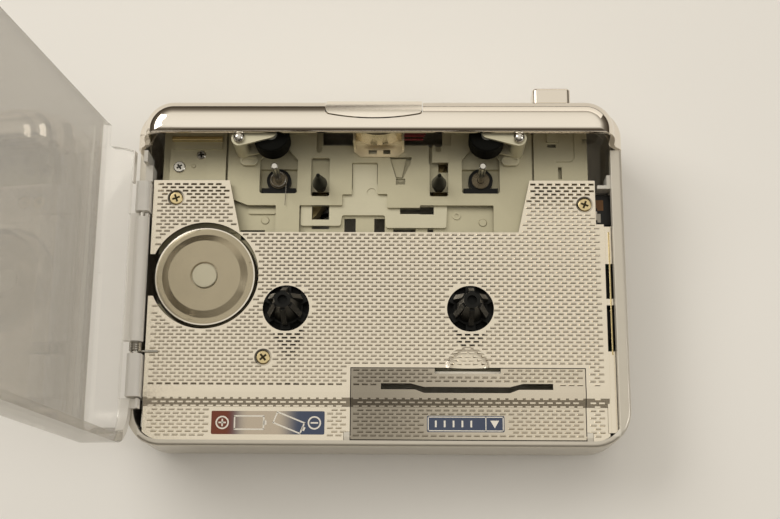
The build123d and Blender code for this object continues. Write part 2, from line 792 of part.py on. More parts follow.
def upper_outline():
    """Corners of the main sheet, the Y of each given from the line of the capstans."""
    half, step, foot, far = plate_half, lower_step, -plate_foot, chassis_y1 - 0.6 - capstan_y
    corners = (
        (-half, far), (-half, step + 2.0), (-31.2, step), (-24.5, step), (-24.5, foot),
        (-18.9, foot), (-18.9, step), (-8.8, step), (-8.8, -3.7), (stem_x0 - 0.15, -3.7),
        (stem_x0 - 0.15, 4.2), (stem_x1 + 0.15, 4.2), (stem_x1 + 0.15, -3.6), (1.9, -3.6),
        (1.9, -7.0), (9.6, -7.0), (9.6, step), (27.0, step), (27.0, foot), (half, foot), (half, far),
    )
    return [(x, capstan_y + y) for x, y in corners]


lower_step = -6.4
roller_slots = (-14.5, 14.0)
slot_r = 0.7
slot_end_y = capstan_y + 7.4
notch_by_tab = (11.7, 12.5)


def capstan_window(x, z0, z1):
    """Window that tapers towards the pinch roller, with round corners at its foot."""
    half, neck = 4.5, 2.3
    y0, y1, y2, y3 = (capstan_y + y for y in (-3.5, 4.9, 7.4, 9.2))
    shape = make_face(Polyline(
        (x - half, y0), (x + half, y0), (x + half, y1), (x + neck, y2), (x + neck, y3),
        (x - neck, y3), (x - neck, y2), (x - half, y1), close=True,
    ))
    return slab(fillet(shape.vertices().group_by(Axis.Y)[0], 0.7), z0, z1)


def roller_slot(x, z0, z1):
    """Slot with a round foot that runs out under the bar."""
    return block(x - slot_r, x + slot_r, slot_end_y, half_y, z0, z1) + drum(x, slot_end_y, slot_r, z0, z1)


def slot_tab():
    """Small raised tab round the foot of the right slot."""
    x0, x1 = notch_by_tab[1], roller_slots[1] + 2.4
    return block(x0, x1, slot_end_y - 3.3, slot_end_y + 0.4, upper_top_z - 0.1, upper_top_z + 0.5)


def pivot_places():
    return ((-pivot_half, pivot_y), (pivot_half, pivot_y))


def left_plate():
    x0, x1, far = left_plate_x, -plate_half - side_plate_gap, chassis_y1 - 0.8
    plate = block(x0, x1, capstan_y - 9.2, far, upper_z0, upper_top_z)
    plate += block(left_seam_x, x1, capstan_y - 0.8, capstan_y + 5.6, upper_top_z, upper_top_z + 0.3)
    plate += block(x0 + 0.9, x1 - 1.0, capstan_y + 7.4, far, upper_top_z, upper_top_z + 0.5)
    plate += block(x0 + 0.6, left_seam_x + 3.9, capstan_y - 8.3, capstan_y - 1.8, base_z1, upper_z0)
    post_x, post_y = deck_screw_places[0]
    room = post_r + gap
    plate -= drum(post_x, post_y, room, base_z0, upper_top_z + 1)
    plate -= block(chassis_left, post_x, post_y - room, post_y + room, base_z1, upper_top_z + 1)
    for x, y, _ in plate_screw_places:
        plate -= drum(x, y, plate_screw_r + 0.05, base_z1, upper_top_z + 1)
    return plate + Pos(-44.4, capstan_y + 3.3, upper_top_z) * Cone(0.7, 0.4, 0.4)


left_plate_x = -50.1
left_seam_x = -41.4
plate_screw_r = 0.6
plate_screw_places = ((-47.8, capstan_y + 3.0, 1.4), (-42.7, capstan_y + 6.0, 1.1))


def right_plate():
    x0, x1, far = plate_half + side_plate_gap, chassis_right - 0.2, chassis_y1 - 0.8
    z0, z1 = upper_z0 - 1, upper_top_z + 1
    plate = block(x0, x1, capstan_y - 10.6, far, upper_z0, upper_top_z)
    plate += block(x0 + 0.5, x0 + 8.0, capstan_y - 10.2, capstan_y - 3.3, base_z1, upper_z0)
    for slot_x0, slot_x1, back, ahead in right_slots:
        plate -= block(slot_x0, slot_x1, capstan_y + back, capstan_y + ahead, z0, z1)
    plate += block(x0 + 3.1, x0 + 5.8, capstan_y + 9.2, capstan_y + 11.3, upper_top_z, upper_top_z + 0.9)
    plate -= seam_groove(x1 - 3.0)
    plate -= drum(*deck_screw_places[1], post_r + gap, base_z0, upper_top_z + 1)
    return plate - stop_room()


right_slots = ((40.0, 42.0, 8.0, 8.8), (42.4, 43.3, 0.1, 3.1), (48.3, 49.5, 9.1, 10.2))


def seam_groove(x1):
    """Fine line where the right plate's two sheets meet, turning a round corner."""
    z0, wide = upper_top_z - 0.3, 0.28
    corner_y, left = capstan_y + 4.2, 42.0
    outer = fillet(block(left - 3, x1, corner_y, half_y + 3, z0, z0 + 1).edges().filter_by(Axis.Z), 1.4)
    inner = block(left - 3 + wide, x1 - wide, corner_y + wide, half_y + 3, z0 - 1, z0 + 2)
    inner = fillet(inner.edges().filter_by(Axis.Z), 1.4 - wide)
    return (outer - inner) & block(left, x1 + 1, 0, chassis_y1, z0, z0 + 1)


def plate_screws():
    screws = []
    for x, y, head_r in plate_screw_places:
        head = drum(x, y, head_r, upper_top_z, upper_top_z + 0.5)
        head = chamfer(head.faces().sort_by(Axis.Z)[-1].edges(), 0.2)
        screws.append(head + drum(x, y, plate_screw_r, base_z1, upper_top_z))
    return Compound(screws)


def trim_bar():
    z0 = upper_top_z + 0.5
    bar = block(left_plate_x + 0.5, left_seam_x + 3.8, capstan_y + 9.2, capstan_y + 10.4, z0, z0 + 1.0)
    return fillet(bar.edges().filter_by(Axis.X).group_by(Axis.Z)[-1], 0.35)


def side_bracket():
    """White L-shaped guide beside the latch bay."""
    x0, y0, top = latch_bay_x + 0.6, latch_y + 4.3, deck_z + 0.2
    foot = block(x0, x0 + 3.0, y0, y0 + 0.8, deck_z - 4.5, top)
    return foot + block(x0 + 2.2, x0 + 3.0, y0 + 0.8, y0 + 3.3, deck_z - 4.5, top)


# Reels
def reel_posts():
    posts = []
    for side in (-1, 1):
        x = side * hub_pitch / 2
        post = drum(x, hub_y, reel_post_r, base_z1, deck_z + 2.5)
        posts.append(post + drum(x, hub_y, 1.6, base_z1, base_z1 + 0.25))
    return Compound(posts)


def reel_disc(side):
    x = side * hub_pitch / 2
    z0 = base_z1 + 0.6
    disc = drum(x, hub_y, reel_disc_r, z0, z0 + 1.2)
    disc = chamfer(disc.edges(), 0.3)
    disc -= drum(x, hub_y, reel_disc_r - 1.4, z0 + 0.7, z0 + 2) - drum(x, hub_y, 4.2, z0, z0 + 2)
    return disc - drum(x, hub_y, spindle_stem_r, z0 - 1, z0 + 2)


spindle_stem_r = 2.2
spindle_foot_r = 3.9
spindle_tip_r = 1.85


def reel_spindle(side):
    """Six-lobed foot in the deck's hole and six fins on a cone with a hollow ring at its tip."""
    x = side * hub_pitch / 2
    foot_z, tip_z = deck_z - 0.9, spindle_tip_z
    body = drum(0, 0, spindle_stem_r, base_z1 + 0.3, foot_z)
    body += drum(0, 0, spindle_foot_r, foot_z, deck_z + 0.2)
    body += Pos(0, 0, (deck_z + tip_z) / 2) * Cone(spindle_foot_r - 0.4, spindle_tip_r, tip_z - deck_z)
    lobe, fin, shoulder_z = hub_hole_r - gap, spindle_foot_r + 0.4, deck_z + 2.4
    blade_side = make_face(Polyline(
        (-fin, deck_z), (fin, deck_z), (fin, shoulder_z), (2.3, tip_z - 0.8),
        (-2.3, tip_z - 0.8), (-fin, shoulder_z), close=True,
    ))
    for turn in range(3):
        foot = block(-lobe, lobe, -1.1, 1.1, foot_z, deck_z + 0.4)
        blade = Pos(0, 0.6, 0) * extrude(Plane.XZ * blade_side, 1.2)
        body += Rot(0, 0, 30 + 60 * turn) * (foot + blade)
    body -= drum(0, 0, spindle_tip_r - 0.75, tip_z - 1.5, tip_z + 1)
    body -= drum(0, 0, reel_post_r + running, base_z1, deck_z + 2.7)
    return Pos(x, hub_y, 0) * body


# Capstans and drive
def bearing_housings():
    homes = []
    for side in (-1, 1):
        x = side * capstan_half
        home = drum(x, capstan_y, housing_r, tray_z, upper_z0 - 0.2)
        home += block(x - 4.1, x + 4.1, capstan_y - 3.9, capstan_y - 1.9, tray_z, upper_z0 - 0.2)
        homes.append(home - drum(x, capstan_y, sleeve_r + running, tray_z - 1, upper_z0 + 1))
    return Compound(homes)


sleeve_r = 1.6


def capstan_sleeves():
    sleeves = []
    for side in (-1, 1):
        x = side * capstan_half
        sleeve = drum(x, capstan_y, sleeve_r, base_z0 - 0.9, upper_z0 - 0.2)
        sleeve += drum(x, capstan_y, sleeve_r + 0.5, upper_z0 - 0.2, upper_z0 + 0.3)
        sleeves.append(sleeve - drum(x, capstan_y, capstan_r + running, base_z0 - 2, upper_z0 + 1))
    return Compound(sleeves)


def capstan(side):
    pin = drum(side * capstan_half, capstan_y, capstan_r, thrust_z + 0.05, capstan_top_z)
    return chamfer(pin.faces().sort_by(Axis.Z)[-1].edges(), 0.2)


def flywheel(side):
    x = side * capstan_half
    wheel = drum(x, capstan_y, flywheel_r, flywheel_z0, flywheel_z1)
    dish = drum(x, capstan_y, flywheel_r - 2.0, flywheel_z1 - 1.2, flywheel_z1 + 1)
    wheel -= dish - drum(x, capstan_y, 3.0, 0, 20)
    wheel += drum(x, capstan_y, belt_wheel_r, belt_z - 0.1, flywheel_z0)
    return wheel - drum(x, capstan_y, capstan_r, 0, 20)


def belt_line(shift):
    """Closed line of the belt: motor's wheel, right flywheel, back of the left flywheel, idler."""
    inside = belt_gap + belt_t / 2 + shift
    back = belt_wheel_r + belt_gap + belt_t / 2 - shift
    wheels = (
        (motor_x, motor_y, pulley_r + inside),
        (capstan_half, capstan_y, belt_wheel_r + inside),
        (-capstan_half, capstan_y, -back),
        (idler_x, idler_y, idler_r + inside),
    )
    runs = []
    for (x0, y0, r0), (x1, y1, r1) in zip(wheels, wheels[1:] + wheels[:1]):
        heading = atan2(y1 - y0, x1 - x0) - asin((r1 - r0) / hypot(x1 - x0, y1 - y0))
        left = (-sin(heading), cos(heading))
        runs.append(((x0 - r0 * left[0], y0 - r0 * left[1]), (x1 - r1 * left[0], y1 - r1 * left[1]), heading))
    edges = []
    for i, (start, end, heading) in enumerate(runs):
        edges.append(Line(start, end))
        x, y, r = wheels[(i + 1) % len(wheels)]
        after, _, next_heading = runs[(i + 1) % len(wheels)]
        way = 1 if r > 0 else -1
        turn = way * ((way * (next_heading - heading)) % radians(360))
        half_way = heading + turn / 2
        middle = (x + r * sin(half_way), y - r * cos(half_way))
        edges.append(ThreePointArc(end, middle, after))
    return make_face(edges)


def drive_belt():
    return slab(belt_line(belt_t / 2) - belt_line(-belt_t / 2), belt_z, belt_z + belt_h)


def belt_idler():
    wheel = drum(idler_x, idler_y, idler_r, belt_z - 0.2, belt_z + belt_h)
    return wheel - drum(idler_x, idler_y, idler_post_r + running, 0, 20)


def motor_pulley():
    wheel = drum(motor_x, motor_y, pulley_r, belt_z - 0.3, belt_z + belt_h + 0.1)
    return wheel + drum(motor_x, motor_y, 0.75, belt_z, motor_foot_z + 3.0)


def motor_can():
    """Drawn can: a flat ring with four crimps, then a bevel up to a round plateau with the disc's recess."""
    ring_z, lip = motor_z - motor_rise, 0.5
    recess_r, recess_z = motor_disc_r + motor_groove, motor_z - 0.7
    profile = Polyline(
        (0, motor_foot_z), (motor_r - lip, motor_foot_z), (motor_r, motor_foot_z + lip),
        (motor_r, ring_z - lip), (motor_r - lip / 2, ring_z - lip / 6), (motor_r - 2 * lip, ring_z),
        (motor_rim_r, ring_z), (motor_top_r, motor_z), (recess_r, motor_z), (recess_r, recess_z),
        (0, recess_z), close=True,
    )
    can = revolve(Plane.XZ * make_face(profile), Axis.Z)
    for angle in crimp_angles:
        can -= Rot(0, 0, angle) * Pos(motor_r - 0.9, 0, ring_z) * Box(0.7, 1.2, 0.5)
    return Pos(motor_x, motor_y, 0) * (can - drum(0, 0, 0.75 + running, motor_foot_z - 1, motor_foot_z + 3.2))


def motor_disc():
    disc = drum(motor_x, motor_y, motor_disc_r, motor_z - 0.7, motor_z)
    return chamfer(disc.faces().sort_by(Axis.Z)[-1].edges(), 0.15)


def flywheel_bracket():
    """Strip that carries the thrust of the capstans, on two posts beyond the flywheels."""
    post_x, post = capstan_half + flywheel_r + 2.95, 1.5
    low = thrust_z - sheet
    strip = block(-post_x - 2.5, post_x + 2.5, capstan_y - 3, capstan_y + 3, low, thrust_z)
    strip += block(idler_x - 1.6, idler_x + 3.0, idler_y - 1.6, capstan_y - 1, low, thrust_z)
    strip += drum(idler_x, idler_y, idler_post_r, thrust_z, belt_z + belt_h + 0.1)
    for x in (-post_x, post_x):
        strip += drum(x, capstan_y, post, thrust_z, base_z0)
    return strip


def guide_pins():
    pins = []
    collar_z, top_z = upper_top_z + 1.0, guide_top_z
    profile = make_face(Polyline(
        (0, base_z1), (1.3, base_z1), (1.3, collar_z - 0.7), (1.75, collar_z), (1.75, collar_z + 0.6),
        (0.6, top_z - 1.4), (0.45, top_z - 0.4), (0.2, top_z), (0, top_z), close=True,
    ))
    for side in (-1, 1):
        pins.append(Pos(side * guide_half, guide_y, 0) * revolve(Plane.XZ * profile, Axis.Z))
    return Compound(pins)


# Pinch rollers
def pinch_pivots():
    """Posts of the arms, each with a domed head over its arm."""
    posts = []
    head_z = roller_z1 + gap + arm_t + 0.15
    for x, y in pivot_places():
        dome = Pos(x, y, head_z) * Sphere(pivot_head_r) & drum(x, y, 2 * pivot_head_r, head_z, bar_z)
        posts.append(dome + drum(x, y, pivot_r, base_z1, head_z))
    return Compound(posts)


def pinch_arm(side):
    """Yoke of two plates and a sleeve, with the roller's pin between the plates and a lug at its foot."""
    px, py, rx, ry = pivot_half, pivot_y, roller_half, roller_y
    low, high = roller_z0 - gap - arm_t, roller_z1 + gap
    arm = drum(px, py, pivot_r + 0.9, upper_top_z + gap, high + arm_t)
    reach, lean = hypot(rx - px, ry - py), degrees(atan2(ry - py, rx - px))
    for z, wide in ((low, 1.7), (high, 1.3)):
        wedge = make_face(Polyline((0, -1.8), (reach, -wide), (reach, wide), (0, 1.8), close=True))
        arm += Pos(px, py, z) * Rot(0, 0, lean) * extrude(wedge, arm_t)
        arm += drum(rx, ry, wide, z, z + arm_t)
    arm += drum(rx, ry, roller_pin_r, low, high + arm_t)
    lug = Pos(px - 1.3, py - 2.3, upper_top_z + gap)
    arm += lug * extrude(SlotOverall(4.2, 2.4), 0.9)
    arm -= lug * Pos(0, 0, 0.5) * extrude(SlotOverall(3.2, 1.4), 1.0)
    arm -= drum(px, py, pivot_r + running, 0, 40)
    return arm if side > 0 else mirrored(arm)


def pinch_roller(side):
    x = side * roller_half
    roller = drum(x, roller_y, roller_r, roller_z0, roller_z1)
    roller = chamfer(roller.edges(), 0.3)
    return roller - drum(x, roller_y, roller_hub_r, 0, 40)


def pinch_hub(side):
    x = side * roller_half
    hub = drum(x, roller_y, roller_hub_r, roller_z0 - 0.15, roller_z1 + 0.15)
    return hub - drum(x, roller_y, roller_pin_r + running, 0, 40)


# Tape head and its slide
def head_slide():
    """T-shaped sheet: a stem up to the head and a broad foot that runs under the deck's edge."""
    z0, z1 = slide_z0 - 1, slide_z0 + 2
    tie = tie_y + tie_t - capstan_y
    corners = (
        (-18.6, -11.2), (-9.2, -11.2), (-8.8, -8.6), (1.3, -8.6), (1.6, -11.7), (15.8, -11.7),
        (16.1, -5.2), (2.4, -4.6), (stem_x1 + 2.6, -2.9), (stem_x1, -1.0), (stem_x1, tie),
        (stem_x0, tie), (stem_x0, -2.3), (-9.0, -3.8), (-18.6, -4.8),
    )
    outline = make_face(Polyline(*[(x, capstan_y + y) for x, y in corners], close=True))
    slide = slab(fillet(outline.vertices(), 0.5), slide_z0, slide_z0 + sheet)
    for x0, x1, back, ahead in ((-16.0, -11.9, -9.7, -6.2), (4.9, 9.9, -8.3, -6.9), (9.6, 12.9, -8.4, -6.5)):
        slide -= block(x0, x1, capstan_y + back, capstan_y + ahead, z0, z1)
    slide -= drum(stem_x0 + 4.5, capstan_y - 3.0, 1.1, slide_z0 + sheet - 0.25, z1)
    return slide + block(stem_x0 + 1.4, stem_x1, tie_y, tie_y + tie_t, slide_z0 + sheet, bracket_z)


tie_y = chassis_y1 - 1.1
tie_t = 0.9
bracket_z = upper_top_z + slide_play


def head_bracket():
    """Tray of the head: a floor with two windows, two cheeks and the block that the head stands on."""
    x0, x1, y = head_x - head_half - 0.6, head_x + head_half + 0.6, head_front_y
    far = y + head_depth + 0.8
    left_side = ((x0, far), (x0, y - 0.9), (x0 + 1.6, y - 2.2))
    outline = (*left_side, (x1 - 1.6, y - 2.2), (x1, y - 0.9), (x1, far))
    tray = prism(outline, bracket_z, bracket_z + 0.5)
    for left, right in ((-2.5, -0.55), (1.0, 2.7)):
        tray -= block(head_x + left, head_x + right, y - 1.6, y - 0.5, bracket_z - 1, bracket_z + 2)
    for x in (x0, x1 - 0.5):
        tray += block(x, x + 0.5, y - 0.3, y + head_depth, bracket_z, head_z0 + 4.0)
    return tray + block(x0, x1, y + 0.9, y + head_depth, bracket_z, head_z0)


def tape_head():
    """Metal can of the head with its bulging face towards the tape."""
    x0, x1 = head_x - head_half, head_x + head_half
    y0, y1 = head_front_y, head_front_y + head_depth
    arc = ThreePointArc((x0, y0 + 1.6), (head_x, y0), (x1, y0 + 1.6))
    back = Polyline((x1, y0 + 1.6), (x1, y1), (x0, y1), (x0, y0 + 1.6))
    return slab(make_face([arc, back]), head_z0, head_z1)


def head_leads():
    """Four thin wires from the side of the head, tucked behind the bar."""
    wires = []
    x0 = head_x + head_half + 0.1
    for i in range(4):
        y = head_front_y + 1.2 + 0.7 * i
        wires.append(rod_x(y, head_z0 + 0.6 + 0.5 * (i % 2), 0.25, x0 + 0.5, x0 + 5.0 + 0.3 * i))
    return Compound(wires)


# Latch
def latch_slider():
    x0, x1 = latch_bay_x + 0.3, half_x - wall - gap
    y0, y1 = latch_y - latch_half, latch_y + latch_half
    slider = block(x0, x1, y0, y1, latch_z - 2.0, hook_foot_z - gap)
    slider += block(x0 - 0.6, x0 + 0.2, y0, y0 + 4.0, hook_foot_z - 1.2, deck_z - deck_t - gap)
    thumb_y = (latch_y - thumb_half, latch_y + thumb_half)
    thumb = block(x1 - 0.2, half_x + 0.9, *thumb_y, latch_z - 1.0, latch_z + 1.0)
    thumb = fillet(thumb.edges().filter_by(Axis.Y).group_by(Axis.X)[-1], 0.4)
    return slider + thumb


# Sockets, dial and board
def jack_body(y, half, long, pin):
    x1 = half_x - wall - 0.1
    x0 = half_x - long
    body = block(x0, x1, y - half, y + half, board_z + board_t, jack_z + 3.6)
    body += rod_x(y, jack_z, jack_nose_r, x1, half_x)
    body -= rod_x(y, jack_z, jack_bore_r, x0 - 1 if pin is None else x0 + 1.5, half_x + 1)
    if pin:
        body += rod_x(y, jack_z, pin, x0 + 1.0, half_x - 1.5)
    return body


def volume_dial():
    x = half_x + dial_out - dial_r
    dial = drum(x, dial_y, dial_r - 0.15, dial_z, dial_z + dial_h)
    ribs = 20
    for i in range(ribs):
        rib = Rot(0, 0, 360 / ribs * i) * Pos(dial_r - 0.3, 0, 0) * Box(0.6, 0.5, dial_h)
        dial += Pos(x, dial_y, dial_z + dial_h / 2) * rib
    return dial - drum(x, dial_y, dial_post_r + running, 0, 40)


dial_post_r = 0.8


def volume_base():
    x = half_x + dial_out - dial_r
    x0 = bay_x1 + 0.4
    base_y = (dial_y - volume_base_down, dial_y + 3.2)
    base = block(x0, half_x - wall - 0.5, *base_y, board_z + board_t, dial_z - gap)
    return base + drum(x, dial_y, dial_post_r, dial_z - gap, dial_z + dial_h + 0.2)


def main_board():
    x0, x1 = -24.0, half_x - wall - 0.4
    y0, y1 = cell_y + cell_r + gap + bay_rib + 0.2, 7.0
    board = block(x0, x1, y0, y1, board_z, board_z + board_t)
    x, y = boss_places[2]
    board -= drum(x, y, boss_r + 0.1, 0, 20)
    for x, y in board_posts:
        board -= drum(x, y, 0.6, 0, 20)
    return board


board_posts = ((-20.0, -18.0), (10.0, 4.5), (40.0, 4.5))


def board_supports():
    posts = []
    for x, y in board_posts:
        posts.append(drum(x, y, 1.4, back_wall, board_z) + drum(x, y, 0.55, board_z, board_z + board_t + 0.5))
    return Compound(posts)


def board_chips():
    top = board_z + board_t
    chips = []
    for x, y, long, wide, high in chip_places:
        chips.append(block(x - long / 2, x + long / 2, y - wide / 2, y + wide / 2, top, top + high))
    return Compound(chips)


chip_places = ((0, -10, 9, 9, 1.6), (16, -14, 7, 5, 1.4), (30, -4, 6, 6, 1.4), (-15, -2, 5, 5, 2.2))


# Battery contacts
def battery_spring():
    """Cone of wire turns on a plate at the left end of the bay."""
    x0 = bay_x0 + 0.2
    spring = block(x0, x0 + 0.4, cell_y - 4.0, cell_y + 5.5, cell_z - 4.6, cell_z + 4.6)
    for i in range(3):
        place = Pos(x0 + 0.65 + 0.45 * i, cell_y, cell_z) * Rot(0, 90, 0)
        spring += place * wire_turn(3.6 - 0.65 * i, 0.5)
    return spring


def battery_contact():
    plate_x = contact_x - 0.4
    plate = block(plate_x, contact_x, cell_y - 5.0, cell_y + 5.0, cell_z - 5.0, cell_z + 5.0)
    return plate + rod_x(cell_y, cell_z, 2.2, plate_x - 0.5, plate_x)


def build():
    os.makedirs("parts", exist_ok=True)
    save("rear_shell", rear_shell())
    save("case_screws", case_screws())
    save("rim_frame", rim_frame())
    save("top_bar", top_bar())
    save("play_key", play_key())
    save("stop_button", stop_button())
    save("deck_plate", deck_plate())
    save("battery_door", battery_door())
    save("deck_screws", deck_screws())
    save("lid", opened(lid_closed()))
    save("hinge_blocks", hinge_blocks())
    save("hinge_pin", hinge_pin())
    save("lid_spring", lid_spring())
    save("hinge_bracket", hinge_bracket())
    save("side_bracket", side_bracket())
    save("latch_slider", latch_slider())
    save("base_chassis", base_chassis())
    save("upper_chassis", upper_chassis())
    save("left_plate", left_plate())
    save("right_plate", right_plate())
    save("plate_screws", plate_screws())
    save("trim_bar", trim_bar())
    save("reel_posts", reel_posts())
    save("bearing_housings", bearing_housings())
    save("capstan_sleeves", capstan_sleeves())
    save("flywheel_bracket", flywheel_bracket())
    save("drive_belt", drive_belt())
    save("motor_can", motor_can())
    save("motor_disc", motor_disc())
    save("motor_pulley", motor_pulley())
    save("belt_idler", belt_idler())
    save("guide_pins", guide_pins())
    save("pinch_pivots", pinch_pivots())
    save("head_slide", head_slide())
    save("head_bracket", head_bracket())
    save("tape_head", tape_head())
    save("head_leads", head_leads())
    save("headphone_jack", jack_body(jack_y, jack_half, jack_long, None))
    save("power_jack", jack_body(power_y, power_half, power_long, power_pin_r))
    save("volume_dial", volume_dial())
    save("volume_base", volume_base())
    save("main_board", main_board())
    save("board_supports", board_supports())
    save("board_chips", board_chips())
    save("battery_spring", battery_spring())
    save("battery_contact", battery_contact())
    for side, name in ((-1, "left"), (1, "right")):
        save(f"reel_spindle_{name}", reel_spindle(side))
        save(f"reel_disc_{name}", reel_disc(side))
        save(f"capstan_{name}", capstan(side))
        save(f"flywheel_{name}", flywheel(side))
        save(f"pinch_arm_{name}", pinch_arm(side))
        save(f"pinch_roller_{name}", pinch_roller(side))
        save(f"pinch_hub_{name}", pinch_hub(side))


build()
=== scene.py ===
import math

import bmesh
import bpy
from mathutils import Matrix, Vector


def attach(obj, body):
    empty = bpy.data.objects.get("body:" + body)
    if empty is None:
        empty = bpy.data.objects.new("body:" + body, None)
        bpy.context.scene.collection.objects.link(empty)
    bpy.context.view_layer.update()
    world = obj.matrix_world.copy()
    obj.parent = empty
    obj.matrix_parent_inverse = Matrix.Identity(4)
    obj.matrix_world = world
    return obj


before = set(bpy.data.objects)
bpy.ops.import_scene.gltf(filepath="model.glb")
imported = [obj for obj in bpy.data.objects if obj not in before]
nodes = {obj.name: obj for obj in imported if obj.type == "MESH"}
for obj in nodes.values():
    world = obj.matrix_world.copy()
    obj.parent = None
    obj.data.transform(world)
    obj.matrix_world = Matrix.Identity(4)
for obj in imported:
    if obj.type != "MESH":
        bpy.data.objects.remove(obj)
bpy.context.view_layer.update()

MM = 0.001
PER_METRE = 1000

# Camera, from the photograph's viewing angle: place in millimetres, forward and up directions, lens
CAMERA_PLACE = (8.088, -73.883, 316.0)
CAMERA_FORWARD = (-0.01762, 0.25166, -0.96766)
CAMERA_UP = (-0.00248, 0.96779, 0.25174)
CAMERA_LENS = 61.15
SENSOR = 36.0
CLIP_START = 0.01

# Area lamps: name, place and size in metres, power in watts and colour. All aim at one point
LAMPS = (
    ("window", (-0.62, 0.42, 0.72), (0.6, 0.5), 4.2, (1.0, 0.97, 0.92)),
    ("fill", (1.0, -0.1, 0.55), (0.5, 0.5), 2.4, (1.0, 0.98, 0.95)),
    ("wall", (0.40, 1.0, 0.38), (0.9, 0.62), 1.5, (1.0, 0.95, 0.86)),
)
LAMP_AIM = (0, 0, 0.02)

# Light from all round, by how high its direction stands along one that leans to the far side
SKY_LEAN = (0.0, 0.14, 0.99)
SKY = (
    (0.25, (0.07, 0.055, 0.04)),
    (0.55, (0.18, 0.155, 0.125)),
    (0.70, (0.46, 0.42, 0.36)),
    (0.84, (0.93, 0.88, 0.79)),
    (0.985, (1.0, 0.95, 0.86)),
)
SKY_STRENGTH = 0.9

# Floor in metres: it lies a little below the part
FLOOR_SIZE = 3.0
FLOOR_DROP = 0.00005

# Field of embossed bricks: its first brick, its length and width, and the pitches along X and Y
FIELD_START = (-52.6, -38.0)
FIELD_SIZE = (106, 61.5)
BRICK_PITCH = 1.95
ROW_PITCH = 0.82

# One brick: its foot, the height of its crest, how far the crest lies from the near edge, the height left at
# the far edge and what the top loses of the length
BRICK_LONG = 1.50
BRICK_WIDE = 0.62
BRICK_HIGH = 0.16
BRICK_FRONT = 0.29
BRICK_FAR = 0.04
BRICK_TAPER = 0.24

# Share of a brick's half length that stays clear of a round edge, and of the deck's round corners
ROUND_CLEAR = 0.7
CORNER_CLEAR = 0.6

# Deck's side profile, as on the pressed sheet: Y and Z of each bend
DECK_BENDS = ((-38.6, 17.0), (-30.7, 17.0), (-28.7, 18.0), (-27.5, 18.25), (-25.7, 18.0), (22.9, 18.0))

# Deck's outline: its edges, the narrower part from a Y on, and the middle and radius of the near corners
DECK_X = (-53.2, 52.4)
DECK_Y = (-38.3, 22.8)
NARROW_X = 50.6
NARROW_Y = 12.2
CORNER = (48.5, -31.5)
CORNER_R = 6.8

# Opening for the mechanism: half its width at its near side, what it gains to its far side, its Y range
BAY_HALF = 32.65
BAY_FLARE = 2.8
BAY_Y = (10.2, 22.9)

# Holes in the deck: spindles, and the motor with its notch to the left edge
HUB_X = 21.25
HUB_Y = -8.0
HUB_HOLE = 5.4
MOTOR = (-40.5, -0.2)
MOTOR_HOLE = 12.7
MOTOR_NOTCH = 5.0

# Crest of the ridge, along Y, where the sheet is bent smooth
CREST = (-28.75, -26.25)

# Battery door: the middle of the gap at its sides and its far side, and what keeps clear of a gap
DOOR_X = (-6.1, 47.2)
DOOR_FAR = -21.85
GAP_CLEAR = 0.1

# Slot in the door, which dips toward its near side along its middle, and the notch for a thumb
SLOT_X = (0.8, 39.8)
SLOT_Y = (-26.8, -25.4)
SLOT_DIP = 0.8
SLOT_DIP_HALF = 11.0
NOTCH_X = (13.0, 28.0)
NOTCH_Y = -23.4

# Finger scoop: middle of its edge on the door, its radius there, and the ball that shapes it
SCOOP = (20.5, -21.95)
SCOOP_R = 5.0
SCOOP_BALL = 11.017
SCOOP_BALL_Z = 27.817

# Plates printed with plain pictograms: X and Y ranges, the height of the band under them, the thickness of
# the print and the radius of a plate's corners
CELL_PLATE = (-37.6, -11.9, -37.0, -31.7)
ARROW_PLATE = (11.25, 28.75, -36.3, -32.6)
BAND_TOP = 17.0
PRINT_HIGH = 0.06
PLATE_CORNER = 0.3

# Plus and minus: distance from the plate's ends, ring and strokes
PLUS_INSET = 2.5
MINUS_INSET = 2.3
SIGN_RING = 1.35
RING_STEPS = 28
SIGN_STROKE = 1.7
SIGN_LINE = 0.34

# Cells: place along the plate, width and lean in degrees of each, their length and line
CELLS = ((8.6, 3.0, 0), (17.6, 2.6, -22))
CELL_LONG = 6.6
CELL_LINE = 0.32

# Arrow plate: frame, bars and the field of the arrow
FRAME_INSET = 0.3
FRAME_LINE = 0.2
FRAME_SHORT = 0.4
BAR_COUNT = 5
BAR_PITCH = 2.0
BAR_LONG = 1.5
BAR_LINE = 0.4
ARROW_FIELD = 4.2
ARROW_INSET = 2.2
ARROW_RISE = 0.2
ARROW_R = 1.15

# Folded edge at the right of the deck: its stretches along Y, and X and Z ranges of its foot, lip and rib
FLANGE_Y = ((-36.4, -17.8), (-7.0, -5.5), (2.8, 11.8))
FLANGE_PARTS = (
    ((52.1, 54.15), (17.25, 17.45)),
    ((53.95, 54.15), (17.45, 17.75)),
    ((52.75, 52.95), (17.45, 17.6)),
)

# Gold strip on that edge
GOLD_X = (53.43, 53.77)
GOLD_Y = (-18.6, 10.5)
GOLD_Z = (17.42, 17.58)
GOLD_BEVEL = 0.05

# Capstans, and the fine wire coiled over the left one's bearing with a straight end
CAPSTAN = (24.05, 23.8)
COIL_Z = 15.75
COIL_R = 1.75
COIL_WIRE = 0.09
COIL_TURNS = 2.5
COIL_STEPS = 60
COIL_CLIMB = 0.011
TAIL_START = (-22.15, 23.2, 16.25)
TAIL_END = (-22.3, 17.2, 16.6)
TAIL_WIRE = 0.08
WIRE_SIDES = 6

